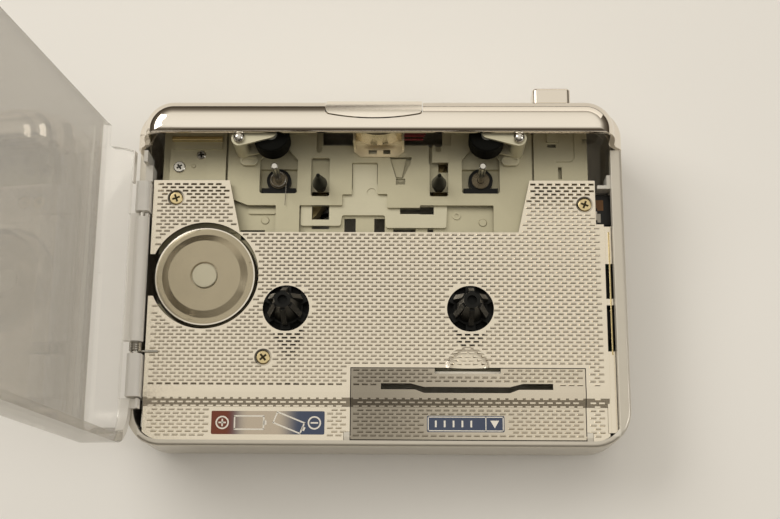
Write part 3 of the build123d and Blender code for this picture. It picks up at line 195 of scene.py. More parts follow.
# Screws, each with the turn of its cross in degrees, and the radius of the cups round the deck's screws
DECK_SCREWS = ((-47.9, 18.5, 20), (48.2, 17.0, 70), (-26.2, -19.5, 40))
PLATE_SCREWS = ((-47.8, 26.8, 35), (-42.7, 29.8, 10))
CASE_SCREWS = ((-49.5, 33.0, 15), (46.5, 33.0, 60), (45.5, -18.5, 80), (-49.0, -18.5, 30))
CUP_R = 1.8

# Where a finish rises along an axis or a mask, as the two ends of the change
# Far side of the bar, where its colour is darkened as painted shade
BAR_PAINTED_SHADE_Y = (33.5, 39.5)
RIM_INSIDE_Z = (0.6, 0.8)
# Side of a screw's cup where its painted shade is darkest
CUP_SHADE_SIDE = (-1.6, 1.2)
BARREL_X = (-58.6, -58.0)
# Glance at which the clear moulding's colour turns to painted shade
GLANCE_EDGE = (0.50, 0.95)

# Where a finish fades, as an edge and the width of the change past it
# Door's edge along X, left of which its colour is darkened as painted shade
DOOR_PAINTED_SHADE = (-4.0, 44.0)
BARREL_Z = (22.0, 1.0)
# Red end of the foil, a painted reflection
RED_REFLECTION_END = (-34.5, 4.0)

# Bands of a finish, as two edges and the width of the change past each
# Ring of painted shade round each screw's cup
CUP_SHADE_RING = (1.35, 1.95, 0.15)
# Ring of painted highlight round the motor can's crimped edge
CRIMP_HIGHLIGHT_RING = (11.30, 11.62, 0.12)
# Pale middle of the foil, a painted reflection
PALE_REFLECTION_MIDDLE = (-34.5, -23.0, 5.5)

# Pads on the latch: where each fades along X, and its band along Y
WHITE_PAD = ((52.2, 0.15), (13.5, 15.6, 0.15))
BROWN_PAD = ((52.9, 0.15), (16.4, 19.0, 0.15))

# Inside of the rim: its edges along X and Y, and the width of the change
RIM_INSIDE = (54.3, 37.3)
RIM_INSIDE_SOFT = 0.3

# Rings of a lathe, in radians per millimetre, and the soft ends and sides of a screw's cross
LATHE_RINGS = 23.0
CROSS_END = 0.1
CROSS_SIDE = 0.08


class Wire:
    """An output of a finish's nodes. Arithmetic on it adds Math nodes."""

    def __init__(self, finish, socket):
        self.finish = finish
        self.socket = socket

    def maths(self, operation, *others):
        return self.finish.node("ShaderNodeMath", {"operation": operation}, self, *others)

    def __add__(self, other):
        return self.maths("ADD", other)

    def __sub__(self, other):
        return self.maths("SUBTRACT", other)

    def __rsub__(self, other):
        return self.finish.node("ShaderNodeMath", {"operation": "SUBTRACT"}, other, self)

    def __mul__(self, other):
        return self.maths("MULTIPLY", other)

    def __abs__(self):
        return self.maths("ABSOLUTE")

    __radd__ = __add__

    def step(self, low, high):
        """0 below low, 1 above high and smooth between them."""
        return self.finish.node(
            "ShaderNodeMapRange", {"interpolation_type": "SMOOTHSTEP"}, self, low, high, 0.0, 1.0
        )

    def below(self, edge, soft):
        """1 up to an edge, and then falling to 0 over a soft width."""
        return 1 - self.step(edge, edge + soft)

    def between(self, low, high, soft):
        """0 up to low, rising to 1 over a soft width, and the reverse from high on."""
        return self.step(low, low + soft) * self.below(high, soft)


def length(dx, dy):
    """How long the step of two wires is."""
    return (dx * dx + dy * dy).maths("SQRT")


class Finish:
    """A material whose surface sockets are set by name."""

    def __init__(self, name, color, roughness, metallic=0.0, **surface):
        self.material = bpy.data.materials.new(name)
        self.material.use_nodes = True
        self.tree = self.material.node_tree
        self.shader = self.tree.nodes["Principled BSDF"]
        self.color = (*color, 1.0)
        self.put("Base Color", self.color)
        self.put("Roughness", roughness)
        self.put("Metallic", metallic)
        for socket, value in surface.items():
            self.put(socket.replace("_", " "), value)

    def put(self, socket, value):
        self._feed(self.shader.inputs[socket], value)

    def _feed(self, socket, value):
        if isinstance(value, Wire):
            self.tree.links.new(value.socket, socket)
        else:
            socket.default_value = value

    def node(self, kind, settings, *inputs, out=0, **named):
        made = self.tree.nodes.new(kind)
        for key, value in settings.items():
            setattr(made, key, value)
        for socket, value in zip(made.inputs, inputs):
            self._feed(socket, value)
        for key, value in named.items():
            self._feed(made.inputs[key.replace("_", " ")], value)
        return Wire(self, made.outputs[out])

    def place(self):
        return self.node("ShaderNodeTexCoord", {}, out="Object")

    def axes(self):
        """X, Y and Z in millimetres."""
        split = self.node("ShaderNodeSeparateXYZ", {}, self.place()).socket.node
        return tuple(Wire(self, output) * PER_METRE for output in split.outputs)

    def noise(self, per_mm, detail=3.0, stretch=(1, 1, 1)):
        """Noise of about the given number of blotches per millimetre, from 0 to 1."""
        scale = tuple(PER_METRE * per_mm * s for s in stretch)
        point = self.node("ShaderNodeMapping", {}, self.place(), Scale=scale)
        return self.node("ShaderNodeTexNoise", {}, Vector=point, Scale=1.0, Detail=detail)

    def tint(self, amount, other, base=None):
        """Mixes the finish's colour, or a base, with another colour by an amount from 0 to 1."""
        mix = self.node("ShaderNodeMix", {"data_type": "RGBA"}, amount, out=2)
        sockets = mix.socket.node.inputs
        self._feed(sockets[6], base or self.color)
        self._feed(sockets[7], (*other, 1.0))
        return mix

    def overlay(self, amount, other):
        """Mixes what the base colour already is with another colour."""
        link = self.shader.inputs["Base Color"].links[0]
        self.put("Base Color", self.tint(amount, other, Wire(self, link.from_socket)))

    def bump(self, height, depth_mm):
        self.put("Normal", self.node("ShaderNodeBump", {}, Height=height, Distance=depth_mm * MM))

    def mottle(self, per_mm, other, share, rough_low, rough_high):
        """Uneven colour and gloss, as on plated or moulded surfaces."""
        blotch = self.noise(per_mm)
        self.put("Base Color", self.tint(blotch * share, other))
        self.put("Roughness", rough_low + blotch * (rough_high - rough_low))
        return self


def shaded(color, share):
    """The colour, darker by a share."""
    return tuple(c * share for c in color)


def chrome():
    finish = Finish("polished_chrome", (0.93, 0.87, 0.78), 0.06, 1.0)
    smear = finish.noise(0.12, 4.0, (0.3, 1, 1))
    _, y, _ = finish.axes()
    # The bar's colour is darkened at random by the smear, and toward its far side as painted shade
    dark = smear * 0.2 + y.step(*BAR_PAINTED_SHADE_Y) * 0.45
    finish.put("Base Color", finish.tint(dark, (0.66, 0.60, 0.51)))
    finish.put("Roughness", 0.045 + smear * 0.06)
    return finish


def satin_rim():
    """Silver paint outside, and bare plastic on the faces inside."""
    finish = Finish("satin_silver_paint", (0.60, 0.56, 0.48), 0.34, 0.75, Coat_Weight=0.25)
    finish.mottle(0.2, (0.52, 0.48, 0.41), 0.5, 0.30, 0.42)
    finish.bump(finish.noise(9.0, 1.0), 0.004)
    x, y, z = finish.axes()
    wide, long = (abs(wire).below(edge, RIM_INSIDE_SOFT) for wire, edge in zip((x, y), RIM_INSIDE))
    inside = wide * long * z.step(*RIM_INSIDE_Z)
    finish.overlay(inside, (0.74, 0.70, 0.61))
    finish.put("Metallic", 0.75 - inside * 0.75)
    return finish


def embossed_sheet(name, color, hazy, painted_shade=0.0):
    """Bright pressed sheet, darker toward its left by a share as painted shade, with a ring of painted shade
    round the cup of each screw.
    """
    finish = Finish(name, color, 0.16, 1.0)
    haze = finish.noise(0.08, 3.0)
    finish.put("Roughness", 0.12 + haze * 0.10)
    finish.put("Base Color", finish.tint(haze * 0.35, hazy))
    finish.bump(finish.noise(1.6, 2.0), 0.012)
    x, y, _ = finish.axes()
    shade = 0.0
    # Painted shade: a dark ring round each screw's cup, strongest on its upper left
    for sx, sy, _ in DECK_SCREWS:
        dx, dy = x - sx, y - sy
        shade_side = (dy - dx).step(*CUP_SHADE_SIDE)
        shade = length(dx, dy).between(*CUP_SHADE_RING) * (0.35 + shade_side * 0.65) + shade
    # Painted shade: the sheet turns darker toward its left
    finish.overlay(x.below(*DOOR_PAINTED_SHADE) * painted_shade, (0.24, 0.215, 0.175))
    finish.overlay(shade * 0.9, (0.05, 0.042, 0.03))
    return finish


def satin_key():
    """Chrome of the long key, blasted to a soft sheen."""
    finish = Finish("satin_chrome", (0.96, 0.90, 0.80), 0.24, 1.0)
    grain = finish.noise(6.0, 2.0, (0.3, 1, 1))
    finish.put("Roughness", 0.21 + grain * 0.08)
    finish.put("Base Color", finish.tint(grain * 0.3, (0.90, 0.83, 0.73)))
    finish.bump(grain, 0.002)
    return finish


def zinc_steel(name, color, low, high):
    finish = Finish(name, color, 0.4, 0.55)
    grain = finish.noise(5.0, 3.0, (0.25, 1, 1))
    cloud = finish.noise(0.15, 3.0)
    finish.put("Base Color", finish.tint(cloud * 0.7 + grain * 0.3, shaded(color, 0.84)))
    finish.put("Roughness", low + grain * (high - low))
    finish.bump(grain, 0.006)
    return finish


def clear_plastic():
    """Thin clear moulding: a faint veil over what is behind it, milky at the hinge barrel, with painted
    shade where it is seen edge-on.
    """
    finish = Finish("clear_plastic", (0.95, 0.92, 0.86), 0.03, 0.3, IOR=1.49, Alpha=0.16)
    haze = finish.noise(0.06, 3.0)
    x, _, z = finish.axes()
    barrel = x.step(*BARREL_X) * z.below(*BARREL_Z)
    glance = finish.node("ShaderNodeFresnel", {}, IOR=1.49)
    edge = glance.step(*GLANCE_EDGE) * (1 - barrel)
    finish.put("Base Color", finish.tint(haze * 0.4, (0.90, 0.86, 0.78)))
    # Painted shade: the colour turns darker where the surface is seen edge-on
    finish.overlay(edge, (0.50, 0.47, 0.41))
    finish.put("Roughness", 0.012 + haze * 0.02 + barrel * 0.16)
    finish.put("Metallic", 0.55 - barrel * 0.55)
    finish.put("Alpha", 0.03 + haze * 0.02 + glance * 0.62 + barrel * 0.74)
    return finish


def moulded(name, color, roughness, other=None, gloss=0.5):
    finish = Finish(name, color, roughness, Specular_IOR_Level=gloss)
    finish.mottle(0.5, other or shaded(color, 0.8), 0.6, roughness - 0.06, roughness + 0.08)
    finish.bump(finish.noise(7.0, 2.0), 0.006)
    return finish


def turned_metal(name, color, roughness, centre, metallic=1.0, darker=0.8, twin=False, rings_share=0.1):
    """Metal with the fine rings of a lathe or a spun pressing round a centre in millimetres, or two."""
    finish = Finish(name, color, roughness, metallic)
    x, y, _ = finish.axes()
    if twin:
        x = abs(x)
    rings = (length(x - centre[0], y - centre[1]) * LATHE_RINGS).maths("SINE")
    cloud = finish.noise(0.2, 3.0)
    finish.put("Base Color", finish.tint(cloud * 0.6 + rings * rings_share, shaded(color, darker)))
    finish.put("Roughness", roughness + cloud * 0.08)
    finish.bump(rings, 0.002)
    return finish


def latch_plastic():
    """Black slider with a brown pad and a white pad let into its top."""
    finish = moulded("latch_plastic", (0.010, 0.010, 0.009), 0.38, (0.02, 0.018, 0.015), 0.3)
    x, y, _ = finish.axes()
    for (along_x, along_y), color in ((BROWN_PAD, (0.22, 0.10, 0.03)), (WHITE_PAD, (0.66, 0.62, 0.54))):
        finish.overlay(x.below(*along_x) * y.between(*along_y), color)
    return finish


def motor_steel():
    """Spun steel of the motor can, with a painted highlight round the ring where its edge is crimped over.
    """
    finish = turned_metal("motor_steel", (0.44, 0.385, 0.275), 0.17, MOTOR, 0.92)
    x, y, _ = finish.axes()
    edge = length(x - MOTOR[0], y - MOTOR[1]).between(*CRIMP_HIGHLIGHT_RING)
    # Painted highlight: a bright line round the can's crimped edge
    finish.overlay(edge * 0.75, (0.95, 0.90, 0.80))
    return finish


def plain_metal(name, color, low, high, metallic=1.0):
    finish = Finish(name, color, low, metallic)
    return finish.mottle(1.2, shaded(color, 0.82), 0.6, low, high)


def crossed_metal(name, color, low, high, places, reach, wide=0.17):
    """Screws with a cross recess in each head, given by its place, its turn and the cross's reach; the
    recess is coloured near black as painted shade.
    """
    finish = plain_metal(name, color, low, high)
    x, y, _ = finish.axes()

    def stroke(along, across):
        return along.below(reach - CROSS_END, CROSS_END) * across.below(wide, CROSS_SIDE)

    cross = 0.0
    for px, py, turn in places:
        c, s = math.cos(math.radians(turn)), math.sin(math.radians(turn))
        dx, dy = x - px, y - py
        along, across = abs(dx * c + dy * s), abs(dy * c - dx * s)
        cross = stroke(along, across).maths("MAXIMUM", stroke(across, along)) + cross
    # Painted shade: the cross recess is coloured near black
    finish.put("Base Color", finish.tint(cross, shaded(color, 0.06)))
    finish.bump(1 - cross, 0.25)
    return finish


def printed_foil():
    """Mirror foil under the pictograms, dark red to pale to dark blue along the left plate; the red end and
    pale middle are painted reflection.
    """
    finish = Finish("dark_foil", (0.045, 0.06, 0.11), 0.10, 0.9)
    sheen = finish.noise(0.05, 2.0)
    x, _, _ = finish.axes()
    finish.put("Base Color", finish.tint(sheen * 0.8, (0.11, 0.125, 0.165)))
    # Painted reflection: a pale middle and a red end along the plate
    finish.overlay(x.between(*PALE_REFLECTION_MIDDLE), (0.50, 0.43, 0.34))
    finish.overlay(x.below(*RED_REFLECTION_END), (0.17, 0.055, 0.035))
    finish.put("Roughness", 0.06 + sheen * 0.08)
    return finish


finishes = {
    "chrome": chrome(),
    "rim": satin_rim(),
    "key": satin_key(),
    "sheet": embossed_sheet("metallised_sheet", (0.79, 0.725, 0.605), (0.68, 0.61, 0.49)),
    # The door's sheet is a darker copy of the deck's, with painted shade toward its left
    "door_sheet": embossed_sheet("metallised_door", (0.70, 0.635, 0.52), (0.52, 0.465, 0.375), 0.85),
    "zinc": zinc_steel("zinc_plated_steel", (0.56, 0.52, 0.365), 0.34, 0.50),
    "slide": zinc_steel("bright_zinc_steel", (0.65, 0.61, 0.45), 0.28, 0.42),
    "clear": clear_plastic(),
    "white": moulded("white_plastic", (0.72, 0.69, 0.62), 0.38),
    "black": moulded("black_plastic", (0.006, 0.006, 0.005), 0.34, (0.012, 0.012, 0.010), 0.16),
    "rubber": moulded("black_rubber", (0.003, 0.003, 0.002), 0.70, (0.006, 0.006, 0.005), 0.08),
    "grey": moulded("grey_plastic", (0.20, 0.20, 0.185), 0.42),
    "board": moulded("green_lacquer", (0.03, 0.12, 0.05), 0.30),
    "leads": moulded("red_insulation", (0.24, 0.008, 0.01), 0.40, (0.02, 0.004, 0.006)),
    "motor": motor_steel(),
    "disc": turned_metal("pale_disc", (0.60, 0.56, 0.42), 0.36, MOTOR, 0.4, 0.9),
    "shaft": plain_metal("ground_steel", (0.62, 0.60, 0.55), 0.16, 0.28),
    "screw": crossed_metal("yellow_zinc", (0.66, 0.54, 0.30), 0.22, 0.36, DECK_SCREWS, 0.95),
    "plate_screw": crossed_metal(
        "plain_steel_screw", (0.60, 0.58, 0.52), 0.2, 0.34, PLATE_SCREWS, 0.75, 0.13
    ),
    "case_screw": crossed_metal("nickel_screw", (0.62, 0.60, 0.55), 0.2, 0.32, CASE_SCREWS, 1.1, 0.2),
    "nickel": plain_metal("nickel", (0.60, 0.58, 0.52), 0.20, 0.34),
    "foil": printed_foil(),
    "print": plain_metal("silver_print", (0.90, 0.86, 0.77), 0.25, 0.35, 0.4),
    "latch": latch_plastic(),
    "gold": plain_metal("gold_strip", (0.52, 0.42, 0.22), 0.18, 0.30),
    "bronze": turned_metal("dark_bronze", (0.20, 0.165, 0.11), 0.24, CAPSTAN, 0.95, 0.08, True, 0.9),
    "brass": turned_metal("brass", (0.60, 0.48, 0.24), 0.28, (0.0, 0.0)),
    "head": plain_metal("head_metal", (0.80, 0.70, 0.50), 0.20, 0.32, 0.85),
    "bracket": plain_metal("bracket_metal", (0.78, 0.70, 0.52), 0.24, 0.38, 0.8),
}

NODE_FINISH = {
    "chrome": ("top_bar", "stop_button"),
    "key": ("play_key",),
    "rim": ("rim_frame", "rear_shell"),
    "sheet": ("deck_plate",),
    "door_sheet": ("battery_door",),
    "zinc": ("base_chassis", "upper_chassis", "left_plate", "right_plate", "flywheel_bracket"),
    "slide": ("head_slide", "pinch_arm_left", "pinch_arm_right"),
    "clear": ("lid", "hinge_blocks"),
    "white": ("hinge_bracket", "side_bracket", "belt_idler"),
    "black": (
        "reel_spindle_left", "reel_spindle_right", "reel_disc_left", "reel_disc_right", "bearing_housings",
        "guide_pins", "headphone_jack", "power_jack", "volume_base", "board_supports", "board_chips",
    ),
    "latch": ("latch_slider",),
    "rubber": ("pinch_roller_left", "pinch_roller_right", "drive_belt"),
    "grey": ("pinch_hub_left", "pinch_hub_right", "volume_dial"),
    "board": ("main_board",),
    "leads": ("head_leads",),
    "motor": ("motor_can",),
    "disc": ("motor_disc",),
    "shaft": ("capstan_left", "capstan_right", "hinge_pin", "pinch_pivots", "reel_posts", "lid_spring"),
    "screw": ("deck_screws",),
    "plate_screw": ("plate_screws",),
    "case_screw": ("case_screws",),
    "nickel": ("battery_spring", "battery_contact"),
    "gold": ("trim_bar",),
    "bronze": ("capstan_sleeves",),
    "brass": ("flywheel_left", "flywheel_right", "motor_pulley"),
    "head": ("tape_head",),
    "bracket": ("head_bracket",),
}


def dress_nodes():
    for finish, names in NODE_FINISH.items():
        for name in names:
            slots = nodes[name].data.materials
            slots.clear()
            slots.append(finishes[finish].material)


def piece(name, shape, finish, body):
    """Turns a bmesh in millimetres into an object in metres that rides on a body."""
    bmesh.ops.scale(shape, vec=(MM, MM, MM), verts=shape.verts)
    mesh = bpy.data.meshes.new(name)
    shape.to_mesh(mesh)
    shape.free()
    made = bpy.data.objects.new(name, mesh)
    bpy.context.scene.collection.objects.link(made)
    mesh.materials.append(finishes[finish].material)
    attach(made, body)


def deck_height(x, y):
    """Top of the pressed sheet at a place on the deck, and its slope along Y."""
    reach = math.hypot(x - SCOOP[0], y - SCOOP[1])
    if y > SCOOP[1] and reach < SCOOP_R:
        down = math.sqrt(SCOOP_BALL**2 - reach**2)
        return SCOOP_BALL_Z - down, (y - SCOOP[1]) / down
    for (y0, z0), (y1, z1) in zip(DECK_BENDS, DECK_BENDS[1:]):
        if y0 <= y <= y1:
            slope = (z1 - z0) / (y1 - y0)
            return z0 + slope * (y - y0), slope
    return None


def in_outline(x, y, side, up):
    """True where a brick with these half sizes lies inside the deck's outer edges."""
    if y + up > DECK_Y[1] or y - up < DECK_Y[0] or x - side < DECK_X[0] or x + side > DECK_X[1]:
        return False
    if y + up > NARROW_Y and x + side > NARROW_X:
        return False
    if abs(x) > CORNER[0] and y < CORNER[1]:
        return math.hypot(abs(x) - CORNER[0], y - CORNER[1]) <= CORNER_R - side * CORNER_CLEAR
    return True


def off_holes(x, y, side, up):
    """True where a brick keeps clear of the holes, the screw cups and the opening for the mechanism."""
    bay = BAY_HALF + BAY_FLARE * (y + up - BAY_Y[0]) / (BAY_Y[1] - BAY_Y[0])
    if y + up > BAY_Y[0] and abs(x) - side < bay:
        return False
    if x < MOTOR[0] and abs(y - MOTOR[1]) < MOTOR_NOTCH + up:
        return False
    holes = [(-HUB_X, HUB_Y, HUB_HOLE), (HUB_X, HUB_Y, HUB_HOLE), (*MOTOR, MOTOR_HOLE)]
    holes += [(sx, sy, CUP_R) for sx, sy, _ in DECK_SCREWS]
    return all(math.hypot(x - hx, y - hy) >= r + side * ROUND_CLEAR for hx, hy, r in holes)


def off_plates(x, y, side, up):
    """True where a brick keeps clear of the printed plates and of the ridge's crest."""
    for x0, x1, y0, y1 in (CELL_PLATE, ARROW_PLATE):
        if x0 - side < x < x1 + side and y0 - up < y < y1 + up:
            return False
    return not CREST[0] < y < CREST[1]


def off_gaps(x, y, side, up):
    """True where a brick of these half sizes crosses neither the door's outline nor its slot or notch."""
    if y < DOOR_FAR + up and any(abs(x - edge) < side for edge in DOOR_X):
        return False
    if abs(y - DOOR_FAR) < up and DOOR_X[0] - side < x < DOOR_X[1] + side:
        return False
    dip = SLOT_DIP if abs(x - sum(SLOT_X) / 2) < SLOT_DIP_HALF else 0.0
    if SLOT_X[0] - side < x < SLOT_X[1] + side and SLOT_Y[0] - dip - up < y < SLOT_Y[1] + up:
        return False
    return not (NOTCH_X[0] - side < x < NOTCH_X[1] + side and NOTCH_Y - up < y < DOOR_FAR)


def takes_brick(x, y):
    """True where a brick lies wholly on the deck or wholly on the door."""
    side, up = BRICK_LONG / 2, BRICK_WIDE / 2
    if not off_gaps(x, y, side + GAP_CLEAR, up + GAP_CLEAR):
        return False
    return all(test(x, y, side, up) for test in (in_outline, off_holes, off_plates))


def on_door(x, y):
    side, up = BRICK_LONG / 2 + GAP_CLEAR, BRICK_WIDE / 2 + GAP_CLEAR
    return DOOR_X[0] + side < x < DOOR_X[1] - side and y < DOOR_FAR - up


def brick(shape, x, y, z, slope):
    """One raised brick: its near side rises to a crest, and its far side falls more gently to a low step."""
    size = (BRICK_LONG, BRICK_WIDE, 2 * BRICK_HIGH)
    place = Matrix.Translation((x, y, z)) @ Matrix.Rotation(math.atan(slope), 4, "X")
    made = bmesh.ops.create_cube(shape, size=1.0, matrix=Matrix.Diagonal((*size, 1.0)))["verts"]
    top = [v for v in made if v.co.z > 0]
    bmesh.ops.scale(shape, vec=(1 - BRICK_TAPER / BRICK_LONG, 1.0, 1.0), verts=top)
    near = [v for v in top if v.co.y < 0]
    far = [v for v in top if v.co.y > 0]
    bmesh.ops.translate(shape, vec=(0, BRICK_FRONT, 0), verts=near)
    bmesh.ops.translate(shape, vec=(0, 0, BRICK_FAR - BRICK_HIGH), verts=far)
    bmesh.ops.transform(shape, matrix=place, verts=made)


def emboss():
    """Rows of bricks in running bond. Each row is its own small mesh until the rows are joined."""
    whole = {"deck": bmesh.new(), "door": bmesh.new()}
    rows = int(FIELD_SIZE[1] / ROW_PITCH)
    columns = int(FIELD_SIZE[0] / BRICK_PITCH) + 1
    for row in range(rows):
        y = FIELD_START[1] + row * ROW_PITCH
        parts = {"deck": bmesh.new(), "door": bmesh.new()}
        for column in range(columns):
            x = FIELD_START[0] + (column + 0.5 * (row % 2)) * BRICK_PITCH
            top = deck_height(x, y)
            if top and takes_brick(x, y):
                brick(parts["door" if on_door(x, y) else "deck"], x, y, *top)
        for name, part in parts.items():
            mesh = bpy.data.meshes.new("row")
            part.to_mesh(mesh)
            part.free()
            whole[name].from_mesh(mesh)
            bpy.data.meshes.remove(mesh)
    piece("deck_emboss", whole["deck"], "sheet", "case")
    piece("door_emboss", whole["door"], "door_sheet", "battery_door")


def bar_mark(shape, x, y, long, wide, turn=0.0, high=PRINT_HIGH):
    """Thin straight stroke of print, its middle at x, y on the low band."""
    place = Matrix.Translation((x, y, BAND_TOP + high / 2)) @ Matrix.Rotation(math.radians(turn), 4, "Z")
    bmesh.ops.create_cube(shape, size=1.0, matrix=place @ Matrix.Diagonal((long, wide, high, 1.0)))


def ring_mark(shape, x, y, r, wide):
    """Thin ring of print, a small quad spun round its middle."""
    start = bmesh.ops.create_grid(shape, x_segments=1, y_segments=1, size=0.5)["verts"]
    upright = Matrix.Rotation(math.pi / 2, 4, "X")
    place = Matrix.Translation((x + r, y, BAND_TOP + PRINT_HIGH / 2)) @ upright
    bmesh.ops.transform(shape, matrix=place @ Matrix.Diagonal((wide, PRINT_HIGH, 1.0, 1.0)), verts=start)
    face = start[0].link_faces[0]
    bmesh.ops.spin(
        shape, geom=[face, *face.edges, *face.verts], cent=(x, y, BAND_TOP), axis=(0, 0, 1),
        angle=math.tau, steps=RING_STEPS, use_merge=True, use_duplicate=False,
    )


def cell_mark(shape, x, y, long, wide, line, turn):
    """Outline of an oblong with a stub at its right end, as on a sketch of a cell."""
    c, s = math.cos(math.radians(turn)), math.sin(math.radians(turn))
    strokes = (
        (0, wide / 2, long + line, line, 0),
        (0, -wide / 2, long + line, line, 0),
        (-long / 2, 0, wide, line, 90),
        (long / 2, 0, wide, line, 90),
        (long / 2 + line, 0, line * 2, wide / 3, 0),
    )
    for dx, dy, stroke, across, lean in strokes:
        bar_mark(shape, x + dx * c - dy * s, y + dx * s + dy * c, stroke, across, turn + lean)


def plate(name, area, body):
    x0, x1, y0, y1 = area
    shape = bmesh.new()
    bar_mark(shape, (x0 + x1) / 2, (y0 + y1) / 2, x1 - x0, y1 - y0, 0, PRINT_HIGH / 2)
    corners = [e for e in shape.edges if abs(e.verts[0].co.z - e.verts[1].co.z) > PRINT_HIGH / 4]
    bmesh.ops.bevel(
        shape, geom=corners, offset=PLATE_CORNER, segments=2, profile=0.5, affect="EDGES", material=-1
    )
    piece(name, shape, "foil", body)


def cell_signs():
    """Which way the cells go in, as a plus, two cells and a minus."""
    plate("cell_plate", CELL_PLATE, "case")
    x0, x1, y0, y1 = CELL_PLATE
    y = (y0 + y1) / 2
    plus, minus = x0 + PLUS_INSET, x1 - MINUS_INSET
    signs = bmesh.new()
    for x in (plus, minus):
        ring_mark(signs, x, y, SIGN_RING, SIGN_LINE)
        bar_mark(signs, x, y, SIGN_STROKE, SIGN_LINE)
    bar_mark(signs, plus, y, SIGN_STROKE, SIGN_LINE, 90)
    for start, wide, lean in CELLS:
        cell_mark(signs, x0 + start, y, CELL_LONG, wide, CELL_LINE, lean)
    piece("cell_signs", signs, "print", "case")


def arrow_signs():
    """A framed arrow for opening the door, beside a row of bars."""
    plate("arrow_plate", ARROW_PLATE, "battery_door")
    x0, x1, y0, y1 = ARROW_PLATE
    x, y = (x0 + x1) / 2, (y0 + y1) / 2
    signs = bmesh.new()
    for line in (y0 + FRAME_INSET, y1 - FRAME_INSET):
        bar_mark(signs, x, line, x1 - x0 - FRAME_SHORT, FRAME_LINE)
    for line in (x0 + FRAME_INSET, x1 - FRAME_INSET, x1 - ARROW_FIELD):
        bar_mark(signs, line, y, y1 - y0 - FRAME_SHORT, FRAME_LINE, 90)
    for count in range(BAR_COUNT):
        bar_mark(signs, x0 + (count + 1) * BAR_PITCH, y, BAR_LONG, BAR_LINE, 90)
    tip = Matrix.Translation((x1 - ARROW_INSET, y + ARROW_RISE, BAND_TOP + PRINT_HIGH / 2))
    bmesh.ops.create_cone(
        signs, cap_ends=True, segments=3, radius1=ARROW_R, radius2=ARROW_R, depth=PRINT_HIGH,
        matrix=tip @ Matrix.Rotation(math.pi, 4, "Z"),
    )
    piece("arrow_signs", signs, "print", "battery_door")


def box(shape, *spans):
    """Adds a box that fills the given spans along X, Y and Z."""
    middle = Matrix.Translation([(low + high) / 2 for low, high in spans])
    size = Matrix.Diagonal((*(high - low for low, high in spans), 1.0))
    bmesh.ops.create_cube(shape, size=1.0, matrix=middle @ size)


def side_flange():
    """Edge of the pressed sheet folded out to the rim at the right, open over the sockets."""
    flange = bmesh.new()
    for stretch in FLANGE_Y:
        for along_x, along_z in FLANGE_PARTS:
            box(flange, along_x, stretch, along_z)
    piece("side_flange", flange, "sheet", "case")


def gold_edge():
    edge = bmesh.new()
    box(edge, GOLD_X, GOLD_Y, GOLD_Z)
    top = [e for e in edge.edges if all(v.co.z > sum(GOLD_Z) / 2 for v in e.verts)]
    bmesh.ops.bevel(
        edge, geom=top, offset=GOLD_BEVEL, segments=2, profile=0.5, affect="EDGES", material=-1
    )
    piece("gold_edge", edge, "gold", "case")


def spring_wire():
    """Fine wire coiled over the left bearing, with a straight end above the chassis plate."""
    wire = bmesh.new()
    x, y = -CAPSTAN[0], CAPSTAN[1]
    ring = bmesh.ops.create_circle(wire, cap_ends=True, segments=WIRE_SIDES, radius=COIL_WIRE)["verts"]
    place = Matrix.Translation((x + COIL_R, y, COIL_Z)) @ Matrix.Rotation(math.pi / 2, 4, "X")
    bmesh.ops.transform(wire, matrix=place, verts=ring)
    face = ring[0].link_faces[0]
    bmesh.ops.spin(
        wire, geom=[face, *face.edges, *face.verts], cent=(x, y, COIL_Z), axis=(0, 0, 1),
        dvec=(0, 0, COIL_CLIMB), angle=COIL_TURNS * math.tau, steps=COIL_STEPS, use_merge=False,
        use_duplicate=False,
    )
    bmesh.ops.recalc_face_normals(wire, faces=wire.faces)
    start, end = Vector(TAIL_START), Vector(TAIL_END)
    along = end - start
    turn = along.to_track_quat("Z", "Y").to_matrix().to_4x4()
    bmesh.ops.create_cone(
        wire, cap_ends=True, segments=WIRE_SIDES, radius1=TAIL_WIRE, radius2=TAIL_WIRE, depth=along.length,
        matrix=Matrix.Translation((start + end) / 2) @ turn,
    )
    piece("bearing_spring", wire, "shaft", "case")


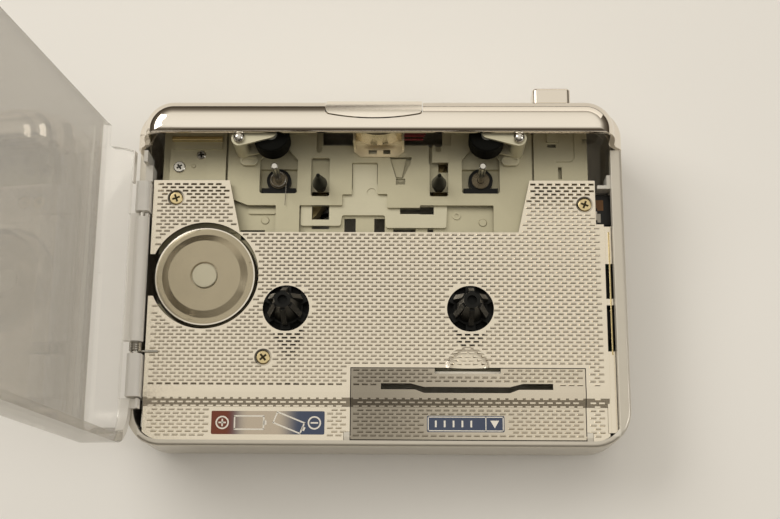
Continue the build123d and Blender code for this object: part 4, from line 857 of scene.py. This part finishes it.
def ground():
    shape = bmesh.new()
    bmesh.ops.create_grid(shape, x_segments=1, y_segments=1, size=FLOOR_SIZE)
    mesh = bpy.data.meshes.new("floor")
    shape.to_mesh(mesh)
    shape.free()
    floor = bpy.data.objects.new("floor", mesh)
    floor.location.z = -FLOOR_DROP
    bpy.context.scene.collection.objects.link(floor)
    mesh.materials.append(Finish("floor_paper", (0.88, 0.86, 0.82), 0.75).material)


def lamp(name, place, size, power, color):
    data = bpy.data.lights.new(name, "AREA")
    data.shape = "RECTANGLE"
    data.size, data.size_y = size
    data.energy = power
    data.color = color
    made = bpy.data.objects.new(name, data)
    made.location = place
    made.rotation_euler = (Vector(LAMP_AIM) - Vector(place)).to_track_quat("-Z", "Y").to_euler()
    bpy.context.scene.collection.objects.link(made)


def sky():
    world = bpy.data.worlds.new("studio")
    bpy.context.scene.world = world
    world.use_nodes = True
    tree = world.node_tree
    background = tree.nodes["Background"]
    background.inputs["Strength"].default_value = SKY_STRENGTH
    direction = tree.nodes.new("ShaderNodeTexCoord")
    height = tree.nodes.new("ShaderNodeVectorMath")
    height.operation = "DOT_PRODUCT"
    height.inputs[1].default_value = SKY_LEAN
    ramp = tree.nodes.new("ShaderNodeValToRGB")
    elements = ramp.color_ramp.elements
    for element, (at, color) in zip((elements[0], elements[1]), (SKY[0], SKY[-1])):
        element.position = at
        element.color = (*color, 1.0)
    for at, color in SKY[1:-1]:
        elements.new(at).color = (*color, 1.0)
    tree.links.new(direction.outputs["Generated"], height.inputs[0])
    tree.links.new(height.outputs["Value"], ramp.inputs["Fac"])
    tree.links.new(ramp.outputs["Color"], background.inputs["Color"])


def camera():
    data = bpy.data.cameras.new("camera")
    data.lens = CAMERA_LENS
    data.sensor_width = SENSOR
    data.clip_start = CLIP_START
    made = bpy.data.objects.new("camera", data)
    forward = Vector(CAMERA_FORWARD).normalized()
    right = forward.cross(Vector(CAMERA_UP)).normalized()
    up = right.cross(forward)
    turn = Matrix((right, up, -forward)).transposed().to_4x4()
    made.matrix_world = Matrix.Translation(Vector(CAMERA_PLACE) * MM) @ turn
    bpy.context.scene.collection.objects.link(made)
    bpy.context.scene.camera = made


dress_nodes()
emboss()
cell_signs()
arrow_signs()
side_flange()
gold_edge()
spring_wire()
ground()
for each in LAMPS:
    lamp(*each)
sky()
camera()
bpy.context.scene.view_settings.view_transform = "Standard"
